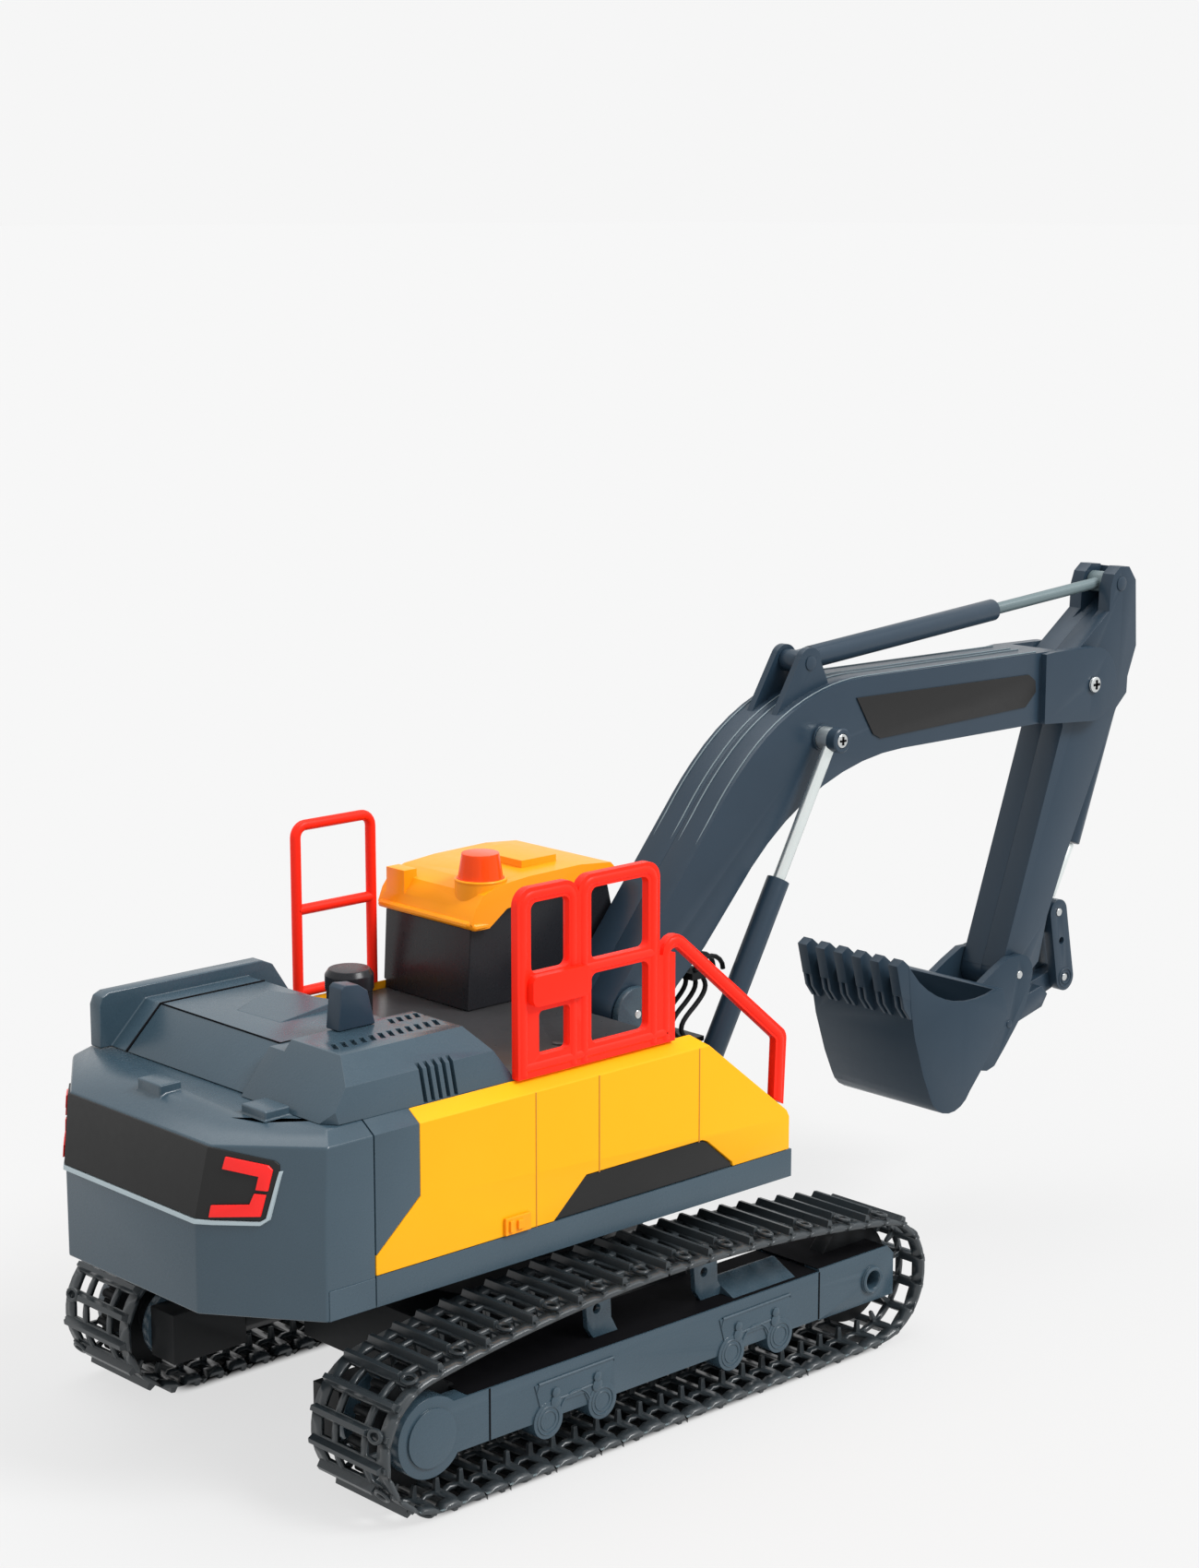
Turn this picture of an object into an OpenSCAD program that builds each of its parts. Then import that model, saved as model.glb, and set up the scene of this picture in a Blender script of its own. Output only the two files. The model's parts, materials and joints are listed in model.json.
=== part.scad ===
// Toy tracked excavator, as an assembly of moulded pieces.
// +X points forward along the boom, +Y to the left, +Z up; the origin is on the ground
// under the middle of the whole model, with the boom raised as in the rest pose.
// Lengths along X below are measured from the slew axis, which lies at slew_x.

/* [Place] */
// X of the slew axis from the middle of the whole model
slew_x = -112.6; // [-125:0.1:-100]

/* [Tracks] */
// Distance from the slew axis to each track wheel axle
axle_x = 122.5; // [110:0.5:130]
// Height of the wheel axles, which is also the outer radius of the track
axle_z = 30; // [28:0.5:32]
// Outer face of each track from the middle plane
track_out = 105.5; // [100:0.5:112]
// Width of one track
track_w = 44.8; // [40:0.2:48]
// Number of bars on one track, an even number
bar_count = 56; // [40:2:64]
// Height of the bars over the belt
bar_h = 2.8; // [2:0.1:3.5]
// Thickness of the belt
belt_t = 2.2; // [1.6:0.1:2.6]
// Height that the upper run of the belt bows up in its middle
belt_bow = 10.5; // [6:0.5:11]

/* [House] */
// Half width of the house
house_w = 82.6; // [78:0.2:86]
// Underside of the house
house_z = 80; // [76:0.5:84]
// Top of the deck that the cab stands on
deck_z = 147.5; // [140:0.5:150]
// Front face of the house
front_x = 89; // [84:0.5:92]
// Seam between the house and the counterweight
seam_x = -134.7; // [-138:0.1:-130]
// Rear face of the counterweight
rear_x = -187.1; // [-195:0.1:-180]

/* [Boom] */
// Half width of the boom
boom_w = 15.5; // [13:0.5:16]
// Wall of the hollow moulded shells
shell_t = 2.2; // [1.6:0.1:3]

/* [Arm and bucket] */
// Half width of the arm
arm_w = 12.4; // [10:0.1:13]
// Half width of the bucket
bucket_w = 31.2; // [28:0.2:34]
// Number of bucket teeth
tooth_count = 6; // [4:1:8]

/* [Cylinders] */
// Radius of each hydraulic barrel
barrel_r = 5.2; // [4.8:0.1:6]
// Radius of the bore of a barrel
bore_r = 4.6; // [4:0.1:4.7]
// Radius of each piston rod
rod_r = 2.8; // [2:0.1:3]

/* [Hidden] */
$fn = 48;
gap = 0.2;                        // between pieces that meet
pin_r = 2;                        // steel pins
fit = 0.08;                       // radial clearance of a pin in its bore
belt_r = axle_z - bar_h;          // outer surface of the belt
belt_in = track_out - track_w;    // inner edge of the belt
wheel_y0 = 79;                    // the narrow wheels run in the middle of the belt
wheel_y1 = 87;
beam_out = track_out - 6.8;       // outer face of the track frame
panel_bottom = house_z + 12;      // top of the grey skirt
crease_z = 146.5;                 // outer crease of the side panels
crease_in = 6.6;                  // width of the chamfer above it
crease_rise = 4.5;
hood_z = crease_z + crease_rise + gap;   // underside of what stands on the chamfered top
plan_side_x = -157.8;             // where the counterweight's side ends
plan_rear_y = 42.6;               // half width of its rear face
cab_rear = -1;
cab_front = 86;
cab_in = 20.5;
cab_out = 77;

// Pivots, as [x, z]
foot = [60, 143];                 // boom foot
lift_foot = [92, 99.7];           // lower pins of the lift cylinders
lift_top = [176.7, 248.2];        // their upper pins
arm_foot = [176, 281];            // arm cylinder on the boom
tip = [368.7, 251.6];             // arm on the boom
arm_top = [397, 298];             // arm cylinder on the arm
bucket_pin = [320, 113.5];
crank_pin = [359.5, 137];
link_pin = [366, 102.5];
drive_pin = [313, 90];            // push link on the bucket
lift_y = 22;                      // middle plane of each lift cylinder

SIDES = [1, -1];

slate = "#4e5d68";
slate_dark = "#3a4650";
black = "#15191c";
yellow = "#fdb81e";
orange_red = "#ff3a24";
charcoal = "#35322e";
chrome = "#c9d1d3";
steel = "#9aa1a5";

// ---- helpers -------------------------------------------------------------

// Places a piece drawn about the slew axis.
module placed() {
    translate([slew_x, 0, 0]) children();
}

// Extrudes an outline drawn in X and Z from y0 to y1.
module side_cut(y0, y1) {
    translate([0, y1, 0]) rotate([90, 0, 0]) linear_extrude(y1 - y0) children();
}

// Extrudes an outline drawn in Y and Z from x0 to x1.
module front_cut(x0, x1) {
    translate([x0, 0, 0]) rotate([90, 0, 90]) linear_extrude(x1 - x0) children();
}

// A round bar along Y about p = [x, z].
module bar_y(p, r, y0, y1) {
    translate([p[0], y1, p[1]]) rotate([90, 0, 0]) cylinder(h = y1 - y0, r = r);
}

// A box from its low corner to its high corner.
module box(low, high) {
    translate(low) cube(high - low);
}

// A rectangle in a drawing plane, with round corners.
module round_rect(low, high, r) {
    translate([low[0] + r, low[1]]) square([high[0] - low[0] - 2 * r, high[1] - low[1]]);
    translate([low[0], low[1] + r]) square([high[0] - low[0], high[1] - low[1] - 2 * r]);
    for (x = [low[0] + r, high[0] - r], z = [low[1] + r, high[1] - r])
        translate([x, z]) circle(r);
}

module on_side(s) {
    mirror([0, s < 0 ? 1 : 0, 0]) children();
}

function arc(c, r, a0, a1, n = 8) =
    [for (i = [0:n]) c + r * [cos(a0 + (a1 - a0) * i / n), sin(a0 + (a1 - a0) * i / n)]];
function aim(a, b) = atan2(b[1] - a[1], b[0] - a[0]);

// ---- undercarriage ---------------------------------------------------------

// The upper run is part of a wide circle that touches both wheel circles.
bow_d = (pow(axle_x, 2) + pow(belt_bow, 2)) / (2 * belt_bow);
bow_c = [0, axle_z + belt_bow - bow_d];
bow_a = asin(axle_x / bow_d);

// The loop of the belt in X and Z, at a distance r from the line of the axles.
module belt_loop(r) polygon(concat(
    arc(bow_c, bow_d + r, 90 + bow_a, 90 - bow_a, 24),
    arc([axle_x, axle_z], r, 86 - bow_a, -90, 24),
    arc([-axle_x, axle_z], r, -90, -266 + bow_a, 24)));

// The centre of curvature, the radius and the direction outwards at part t of the loop.
bow_len = 2 * bow_a * PI / 180 * (bow_d + belt_r);
turn_len = (180 - bow_a) * PI / 180 * belt_r;
loop_len = bow_len + 2 * turn_len + 2 * axle_x;
function loop_at(t) =
    let (s = t * loop_len)
    s < bow_len ? [bow_c, bow_d + belt_r, 90 + bow_a * (1 - 2 * s / bow_len)]
    : s < bow_len + turn_len
        ? [[axle_x, axle_z], belt_r, 90 - bow_a - (s - bow_len) / belt_r * 180 / PI]
    : s < bow_len + turn_len + 2 * axle_x
        ? [[axle_x - (s - bow_len - turn_len), axle_z], belt_r, -90]
    : [[-axle_x, axle_z], belt_r, -90 - (s - bow_len - turn_len - 2 * axle_x) / belt_r * 180 / PI];

module track_belt(s) color(black) placed() on_side(s) {
    side_cut(belt_in, track_out) difference() {
        belt_loop(belt_r);
        belt_loop(belt_r - belt_t);
    }
    bar_half = 1.6;
    for (i = [0:bar_count - 1]) {
        place = loop_at((i + 0.5) / bar_count);
        translate([place[0][0], 0, place[0][1]]) rotate([0, -place[2], 0])
            box([place[1] - 0.5, belt_in, -bar_half], [place[1] + bar_h, track_out, bar_half]);
    }
}

beam_x0 = -93.6;
beam_x1 = 89.8;
beam_z0 = 20.5;
beam_z1 = 41.5;
beam_end = 136.8;
bogie_x = [-50, 51];
bracket_x = [-28, 32];
frame_screw_x = [-88, -66, 66, 84];

module beam_box(inset, y0, y1) {
    side_cut(y0, y1) translate([beam_x0 + inset, beam_z0 + inset])
        square([beam_x1 - beam_x0 - 2 * inset, beam_z1 - beam_z0 - 2 * inset]);
}

module beam_outline() {
    translate([-axle_x, axle_z]) circle(16);
    polygon([[-axle_x, beam_z0], [beam_x1, beam_z0], [beam_x1, beam_z1], [-axle_x, beam_z1]]);
    polygon([[beam_x1, 20], [beam_end, 20], [beam_end, 38.6], [132.8, 42.6], [beam_x1, 42.6]]);
}

module track_frame(s) color(slate) placed() on_side(s) {
    difference() {
        union() {
            side_cut(90, beam_out) beam_outline();
            beam_box(0, 82, 90.1);
            bar_y([-axle_x, axle_z], 11.6, 95, beam_out + 1);
            bar_y([axle_x, axle_z], 6.2, 95, beam_out + 0.8);
            for (x = bogie_x) bogie_relief(x);
            for (x = bracket_x) bracket(x);
        }
        beam_box(shell_t, 81, beam_out - shell_t);
        bar_y([axle_x, axle_z], 4, 80, 120);
    }
    for (x = frame_screw_x) difference() {
        bar_y([x, 29], 3, 82, beam_out - 1);
        bar_y([x, 29], 1.2, 81, 88);
    }
}

// An ear that rises towards the upper run of the belt, with a hole through it.
module bracket(x) side_cut(86, 88.5) difference() {
    polygon([[x - 6.8, 61], [x + 6.8, 61], [x + 7.4, 48], [x + 11.5, beam_z1 - 1],
             [x - 1.5, beam_z1 - 1], [x - 5.4, 46]]);
    translate([x - 0.6, 53.4]) circle(2);
}

module frame_screws() color(steel) placed() for (s = SIDES) on_side(s)
    for (x = frame_screw_x) {
        bar_y([x, 29], 1.2, 61.9, 88);
        bar_y([x, 29], 2.4, 61, 61.95);
    }

// The moulded pair of rollers that hangs from the frame.
module bogie_relief(x) {
    for (dx = [-14.3, 14.3]) bar_y([x + dx, 20.3], 7.5, 90, beam_out + 0.8);
    side_cut(90, beam_out + 0.5) polygon([
        [x - 17, 22], [x - 7, 22], [x - 5, 26], [x + 5, 26], [x + 7, 22], [x + 17, 22],
        [x + 21, 36], [x - 21, 36]]);
}

module inner_frames() color(slate) placed() for (s = SIDES) on_side(s) {
    difference() {
        union() {
            side_cut(62, 66) beam_outline();
            beam_box(0, 66, 82 - gap);
        }
        beam_box(shell_t, 68.2, 83);
        bar_y([axle_x, axle_z], pin_r, 60, 70);
        bar_y([-axle_x, axle_z], 3.1, 60, 70);
        for (x = frame_screw_x) bar_y([x, 29], 1.2, 60, 70);
    }
}

wheel_r = belt_r - belt_t - 0.6;

module wheel_disc() {
    bar_y([0, 0], wheel_r - 2.4, wheel_y0, wheel_y1);
    bar_y([0, 0], 9, 68, wheel_y0 + 1);
}

module drive_sprocket(s) color(charcoal) placed() on_side(s)
    translate([-axle_x, 0, axle_z]) {
        wheel_disc();
        bar_y([0, 0], 3, 56, 69);
        for (a = [0:30:330])
            bar_y((wheel_r - 2.2) * [cos(a), sin(a)], 2, wheel_y0, wheel_y1);
    }

module idler_wheel(s) color(charcoal) placed() on_side(s)
    translate([axle_x, 0, axle_z]) difference() {
        wheel_disc();
        bar_y([0, 0], pin_r + fit, 60, 90);
    }

module idler_axles() color(steel) placed()
    for (s = SIDES) on_side(s) bar_y([axle_x, axle_z], pin_r, 62, 88);

module chassis_frame() color(black) placed() difference() {
    union() {
        box([-72, -45, 16], [72, 45, 44]);
        box([-50, -62 + gap, 21], [50, 62 - gap, 40]);
        translate([0, 0, 43]) cylinder(h = 17, r = 46);
        for (a = [45:90:315]) rotate([0, 0, a]) box([30, -9, 30], [77.5, 9, 45]);
    }
    box([-60, -38, 10], [60, 38, 39]);
    box(switch_slot[0] - [0, 0, 1], switch_slot[1] + [0, 0, 30]);
}

module battery_cover() color(black) placed() {
    box([-60, -42, 13.8], [60, 42, 16 - gap]);
    box([-59.6, -37.6, 15], [59.6, -36, 22]);
    box([-59.6, 36, 15], [59.6, 37.6, 22]);
}

switch_travel = 3;
switch_slot = [[62, -4, 16], [70, 4, 24]];

// The slide of the switch, at the rear end of its slot.
module power_switch() color(charcoal) placed() {
    box([62.3, -3.7, 13.6], [62.3 + 7.4 - switch_travel, 3.7, 22]);
}

module battery_pack() color("#2f6fb0") placed()
    for (y = [-22, -7.3, 7.3, 22])
        translate([-26, y, 26]) rotate([0, 90, 0]) cylinder(h = 50, r = 7.1);

module drive_gearboxes() color("#2a2e31") placed() for (s = SIDES) on_side(s) difference() {
    union() {
        box([-137, 46, 20], [-101, 61.8, 41]);
        translate([-101.1, 53, axle_z]) rotate([0, 90, 0]) cylinder(h = 28, r = 7.5);
    }
    bar_y([-axle_x, axle_z], 3.1, 54, 63);
}

module slew_ring() color("#c8c4b8") placed() difference() {
    translate([0, 0, 60]) cylinder(h = house_z - 60.3, r = 46);
    translate([0, 0, 59]) cylinder(h = 30, r = 34.4);
}

// ---- house -------------------------------------------------------------------

// Side wall with the chamfer along its top, reaching down past the skirt by `down`.
module wall_section(down = 0) {
    polygon([
        [house_w, panel_bottom - down], [house_w, crease_z],
        [house_w - crease_in, crease_z + crease_rise], [house_w - crease_in, deck_z + gap],
        [house_w - 4, crease_z - 4], [house_w - 4, panel_bottom - down]]);
}

ear_y0 = boom_w + 0.8;
ear_y1 = ear_y0 + 3.4;

module ear_outline() {
    polygon([[44, house_z + 1], [100, house_z + 1], [98.5, lift_foot[1]],
             [84, 116], [71, 136], [foot[0], foot[1]], [48, foot[1]]]);
    translate(foot) circle(12);
    translate(lift_foot) circle(6.5);
}

module house_floor() color(slate) placed() difference() {
    union() {
        difference() {
            box([seam_x + gap, -house_w, house_z], [front_x, house_w, panel_bottom]);
            box([seam_x + 4, -house_w + 4, house_z + 3], [front_x - 4, house_w - 4, 100]);
        }
        for (s = SIDES) on_side(s) {
            intersection() {
                front_cut(seam_x + gap, -100) wall_section(1);
                side_cut(70, 90) polygon([
                    [seam_x + gap, 100.2], [-113.2, 118.6], [-113.2, 152], [seam_x + gap, 152]]);
            }
            box([seam_x + gap, house_w - 8, house_z + 3], [-113.2, house_w - 4.1, crease_z - 5]);
            box([seam_x + gap, house_w - 6, 120], [-113.4, house_w - 3, crease_z - 5]);
            side_cut(ear_y0, ear_y1) ear_outline();
            side_cut(24.6, 27.4) {
                polygon([[86, house_z + 1], [99, house_z + 1], [98, 100], [86, 100]]);
                translate(lift_foot) circle(6.5);
            }
            box([front_x - 4.1, 15, house_z], [99, 27.4, house_z + 4]);
        }
        translate([0, 0, 66]) cylinder(h = house_z - 65, r = 34);
    }
    for (s = SIDES) on_side(s) {
        bar_y(foot, pin_r, 10, 22);
        bar_y(lift_foot, pin_r, 10, 30);
    }
}

module deck() color(charcoal) placed() {
    wall_x = 36;
    half = house_w - crease_in - gap;
    box([seam_x + 1, -half, deck_z - 3], [wall_x, half, deck_z]);
    box([wall_x, cab_in - 0.2, deck_z - 3], [cab_front, half, deck_z]);
    box([wall_x - 3, -half, panel_bottom], [wall_x, -ear_y1 - 2, deck_z - 3]);
    box([cab_front - 3, 34, panel_bottom], [cab_front, half, deck_z - 3]);
    box([wall_x, 34, panel_bottom], [cab_front - 3, 36, deck_z - 3]);
    translate([-6, -42, deck_z]) cylinder(h = 1.2, r = 3);
}

// Half of the counterweight's outline from above, at one of its levels and moved out by d.
function weight_plan(rear, rear_y, side_x, side, d) = [
    [seam_x, 0], [seam_x, side + d], [side_x - d * 0.33, side + d],
    [rear - d, rear_y + d * 0.33], [rear - d, 0]];

weight_lean_z = 115;              // above this its rear face leans forwards
weight_edge_z = 144.6;            // where the rear slope of its top begins
module weight_slab(z, plan) {
    translate([0, 0, z - 0.1]) linear_extrude(0.1) {
        polygon(plan);
        mirror([0, 1]) polygon(plan);
    }
}

module weight_block(d = 0) {
    low = weight_plan(rear_x, plan_rear_y, plan_side_x, house_w, d);
    translate([0, 0, house_z]) linear_extrude(weight_lean_z - house_z) {
        polygon(low);
        mirror([0, 1]) polygon(low);
    }
    hull() {
        weight_slab(weight_lean_z, low);
        weight_slab(weight_edge_z, weight_plan(rear_x + 5, 45.7, plan_side_x + 1, house_w, d));
        weight_slab(crease_z, weight_plan(rear_x + 10, 44, plan_side_x + 1.5, house_w, d));
        weight_slab(crease_z + crease_rise,
                    weight_plan(rear_x + 18.8, 40.2, plan_side_x + 6, house_w - crease_in, d));
    }
}

module counterweight() color(slate) placed() {
    difference() {
        weight_block();
        translate([0, 0, house_z + 4]) linear_extrude(weight_edge_z - house_z - 6) {
            inside = weight_plan(rear_x + 5, plan_rear_y - 1, plan_side_x + 3, house_w, -5);
            polygon(inside);
            mirror([0, 1]) polygon(inside);
        }
        box([seam_x - 4, -house_w + 8, house_z + 4], [seam_x + 1, house_w - 8, crease_z - 2]);
    }
    box([-171, 1, 147], [-161, 16, 154.6]);
    box([-162, -53, 147], [-150.4, -38, 154.6]);
}

// A thin skin from d0 to d1 outside the counterweight, where an outline in Y and Z lies.
module weight_skin(d0, d1) intersection() {
    difference() {
        weight_block(d1);
        weight_block(d0);
    }
    front_cut(rear_x - 3, plan_side_x) children();
}

function mirrored(half) = concat(half, [for (i = [len(half) - 1:-1:0]) [-half[i][0], half[i][1]]]);

module rear_label() color(charcoal) placed() weight_skin(0.1, 0.8)
    polygon(mirrored([[48.3, 117.3], [63, 117.8], [64.8, 119.2], [68.6, 137], [68.4, 139.4],
                      [67, 140.6], [46, 144.2]]));

module rear_stripe() color(chrome) placed() weight_skin(0.1, 1.1)
    polygon(mirrored([[48.3, 115.2], [63.3, 116], [66, 118.4], [69.6, 137], [68.9, 137],
                      [65.1, 118.9], [63.2, 117.5], [48.3, 117]]));

module tail_lamps() color("#ff1c18") placed() for (s = SIDES) on_side(s) weight_skin(0.9, 1.6) {
    polygon([[52.2, 141.2], [65.6, 139], [67, 137.4], [65.8, 129.4], [62.2, 129.6],
             [62.9, 134.6], [51.4, 136.6]]);
    polygon([[48.5, 122.8], [60.4, 124], [61.8, 128.2], [65.2, 128], [63.6, 119.6], [48, 118.2]]);
}

hood_top = 172;
door_top = 168;
seam = 0.7;                       // open line round the hood door
door_y0 = -21;
door_y1 = 57.6;
hood_rear = -147.5;
wall_in = 68.6;                   // inner face of the raised left wall

// Closes a hood profile along its underside, which steps up over the counterweight.
function hood_base(front) = [[front, deck_z + gap], [seam_x + 2 * gap, deck_z + gap],
                             [seam_x + 2 * gap, hood_z]];

// A slanted slot in a top face, cut at its middle.
module louvre(half) rotate([0, 0, -25]) box([-0.95, -half, -1.6], [0.95, half, 1]);

module engine_hood() color(slate) placed() difference() {
    intersection() {
        front_cut(-155, -50) polygon([
            [-75.6, deck_z + gap], [-75.6, hood_z], [-72.6, 163.6], [-61, hood_top],
            [-31, hood_top], [-31, door_top], [door_y0 - seam, door_top],
            [door_y0 - seam, deck_z + gap]]);
        side_cut(-80, 0) polygon(concat(
            [[-150, hood_z], [-132.8, hood_top], [-73.6, hood_top], [-60, 152]],
            hood_base(-58)));
        linear_extrude(hood_top + 1) polygon([
            [-155, 0], [-155, -63], [-142, -80], [-50, -80], [-50, 0]]);
    }
    for (i = [0:11]) translate([-127 + 4.5 * i, -50, hood_top]) louvre(3.75);
    for (i = [0:4]) translate([-89 + 4.2 * i, -37, hood_top]) louvre(3.2);
    for (i = [0:4]) translate([-105 + 3.75 * i, -78, 151]) cube([1.8, 8, 17]);
}

module hood_door() color(slate) placed() intersection() {
    front_cut(-150, -50) translate([door_y0, deck_z + gap])
        square([door_y1 - door_y0, door_top - deck_z - gap]);
    side_cut(-80, 80) polygon(concat(
        [[hood_rear, hood_z], [-130.5, door_top], [-79, door_top], [-77, 166]],
        hood_base(-77)));
}

module side_hood() color(slate) placed() {
    side_cut(door_y1 + seam, wall_in + 0.1) polygon(concat(
        [[hood_rear, hood_z], [-130.5, door_top], [-79, door_top], [-77, 166]],
        hood_base(-77)));
    side_cut(wall_in, 75.6) polygon(concat(
        [[-152.5, hood_z], [-152.5, 168.5], [-151, 172], [-147.5, 173.5], [-72, 173.5],
         [-66.5, 171], [-54, 152]],
        hood_base(-54)));
}

module side_panel(s) color(yellow) placed() on_side(s) {
    intersection() {
        front_cut(seam_x, front_x) wall_section();
        side_cut(70, 90) difference() {
            polygon([
                [seam_x + gap, panel_bottom + gap], [seam_x + gap, 99.6], [-113, 118],
                [-113, 152], [33, 152], [86, 109.5], [87.6, 106.5],
                [87.6, panel_bottom + gap]]);
            polygon(emblem_outline());
        }
    }
    box([-71.5, house_w, 93.2], [-59, house_w + 0.8, 99.2]);
}

function emblem_outline() = [
    [-46, panel_bottom], [-28.5, 107.2], [36, 107.2], [39, 106], [53.4, 94], [54, panel_bottom]];

module emblem_plates() color(charcoal) placed()
    for (s = SIDES) on_side(s) side_cut(house_w - 3, house_w - 0.6) polygon([
        [-45.4, panel_bottom + gap], [-28.1, 106.9], [35.8, 106.9], [38.8, 105.7],
        [53.2, 93.7], [53.2, panel_bottom + gap]]);

module exhaust_fin() color(slate_dark) placed()
    side_cut(-36, -28) polygon([
        [-114, hood_top + gap], [-96, hood_top + gap], [-99.5, 186], [-104, 189],
        [-110.6, 189.8], [-112.2, 188.4]]);

module precleaner_cap() color(slate_dark) placed()
    translate([-64.5, 20, deck_z + gap]) {
        cylinder(h = 28, r = 9.4);
        translate([0, 0, 28]) cylinder(h = 2.4, r1 = 10, r2 = 8.4);
        translate([0, 0, 22]) cylinder(h = 6, r = 10);
    }

module cab_outline(inset) {
    polygon([
        [cab_rear + inset, deck_z + gap + inset], [1 + inset, 182.8 - inset],
        [8.2, 182.8 - inset], [18, 189.8 - inset], [40, 192.8 - inset],
        [79 - inset, 193.8 - inset], [cab_front - inset, 166],
        [cab_front - inset, deck_z + gap + inset]]);
}

module cab_shell() color("#23272b") placed() difference() {
    side_cut(cab_in, cab_out) cab_outline(0);
    side_cut(cab_in + 2, cab_out - 2) cab_outline(2);
    box([cab_rear - 1, house_w - crease_in - gap, deck_z], [40, cab_out + 1, hood_z]);
}

module cab_roof() color(yellow) placed() {
    side_cut(16.6, 78.6) polygon([
        [0, 183], [-2, 186], [0.5, 192], [5, 197.5], [13, 200.5], [30, 202], [60, 202.6],
        [78, 201], [82, 197], [82, 194], [40, 193], [18, 190], [8, 183]]);
    translate([13, 28, 192.6]) cylinder(h = 8.8, r = 11);
    box([38, 30, 201], [58, 62, 205.4]);
    box([0, 63, 190], [7, 75, 201.4]);
}

module beacon() color("#f04a10") placed()
    translate([13, 28, 201.4 + gap]) {
        cylinder(h = 1, r = 10);
        translate([0, 0, 1]) cylinder(h = 10.5, r1 = 9.7, r2 = 8);
    }

rail_foot = hood_z;

module handrail_left() color(orange_red) placed() side_cut(73.6, 78.6) difference() {
    round_rect([-50.2, rail_foot], [-3.8, 228.6], 7);
    round_rect([-44.4, 192], [-10.1, 222.4], 3);
    round_rect([-44.4, 158.7], [-10.1, 186.8], 3);
}

module handrail_right() color(orange_red) placed() {
    side_cut(-79, -75.2) {
        difference() {
            union() {
                round_rect([-60.8, rail_foot], [-29, 226.4], 7);
                round_rect([-29.4, rail_foot], [14.8, 227], 7);
                translate([-60.8, rail_foot]) square([84.3, 7.2]);
                translate([12, rail_foot]) square([11.5, 187.7 - rail_foot]);
            }
            round_rect([-54, 192.4], [-34, 220.4], 3);
            round_rect([-50, 159.4], [-34, 177], 2);
            round_rect([-22.5, 192.4], [8.5, 221.4], 3);
            round_rect([-22.5, 158.6], [8.5, 187], 3);
        }
        polygon(concat(
            [[16.5, 186]], arc([23.6, 188], 7, 180, 50, 6),
            arc([82.8, 139.4], 6.2, 42, 0, 4), [[87.6, 111]], [[81.6, 115]],
            arc([80.4, 139.2], 2.2, 0, 42, 3), arc([23.4, 186.4], 3.4, 50, 180, 5),
            [[20, 184]]));
    }
    side_cut(-82.6, -78.9) round_rect([-56, 180], [-25.7, 192], 3);
}

module circuit_board() color("#2c6b3c") placed()
    box([-110, -40, 100], [-40, 40, 101.6]);

module swing_gearbox() color("#8d9094") placed() {
    box([-30, -20, 83 + gap], [10, 20, 105]);
    translate([-15, 0, 105]) cylinder(h = 28, r = 11);
}

module foot_pins() color(steel) placed() {
    bar_y(foot, pin_r, -ear_y1, ear_y1);
    for (s = SIDES) on_side(s) bar_y(lift_foot, pin_r, ear_y0, 27.6);
}

// ---- boom ----------------------------------------------------------------------

// The gooseneck outline, moved in by t.
function boom_outline(t = 0) =
    let (
        front_c = [205.5, 160.3], mid_c = [236.4, 123.5], under_c = [232, 96.5],
        lower_top = foot + 10.5 * [-0.78, 0.62], lower_under = foot + [17, -6])
    concat(
        [[344 - t, 270.5 - t]],
        arc(front_c, 112 - t, 90, 130, 8),
        arc(mid_c, 160 - t, 131, 140, 3),
        arc(foot, 12.6 - t, 146, 300, 10),
        [[104 - t * 0.3, 164.5 + t * 1.4]],
        arc(under_c, 140 + t, 135, 90, 8),
        [[331.5, 236.2 + t], [344 - t, 236.2 + t]]);

tip_r = 18.2;

module boom_shell(s) color(slate_dark) placed() on_side(s) difference() {
    union() {
        side_cut(0.05, boom_w) polygon(boom_outline());
        side_cut(arm_w + 1, boom_w + 3.4) {
            translate(tip) circle(tip_r);
            polygon([[331.5, 236.2], [tip[0], tip[1] - tip_r], [tip[0], tip[1] + tip_r],
                     [338, 270.5], [331.5, 270]]);
        }
        side_cut(5.9, 9.2) {
            translate(arm_foot) circle(7);
            polygon([[152, 256], [169.6, 284], [arm_foot[0], 286], [183, 281], [190, 266]]);
        }
        bar_y(lift_top, 6, boom_w, boom_w + 1.2);
    }
    side_cut(-1, boom_w - shell_t) intersection() {
        polygon(boom_outline(shell_t));
        translate([84, 120]) square([256, 170]);
    }
    bar_y(tip, tip_r + 5.4, -1, arm_w + 1);
    bar_y(foot, pin_r + fit, -1, 40);
    bar_y(lift_top, pin_r, -1, 40);
    bar_y(arm_foot, pin_r, 0, 12);
    bar_y(tip, pin_r, 0, 40);
}

module boom_labels() color(charcoal) placed()
    for (s = SIDES) on_side(s) side_cut(boom_w + 0.1, boom_w + 0.7) polygon([
        [199.5, 263.5], [322, 261], [327, 257.5], [327.6, 252], [320, 245.5],
        [216, 243], [211, 245.5]]);

module boom_pins() color(steel) placed() {
    bar_y(lift_top, pin_r, -28, 28);
    bar_y(arm_foot, pin_r, -9.2, 9.2);
    bar_y(tip, pin_r, -boom_w - 4, boom_w + 4);
    for (s = SIDES) on_side(s) {
        bar_y(lift_top, 3.2, 27.8, 28.8);
        bar_y(tip, 3.8, boom_w + 3.4, boom_w + 4.4);
    }
}

// ---- cylinders ------------------------------------------------------------------

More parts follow.
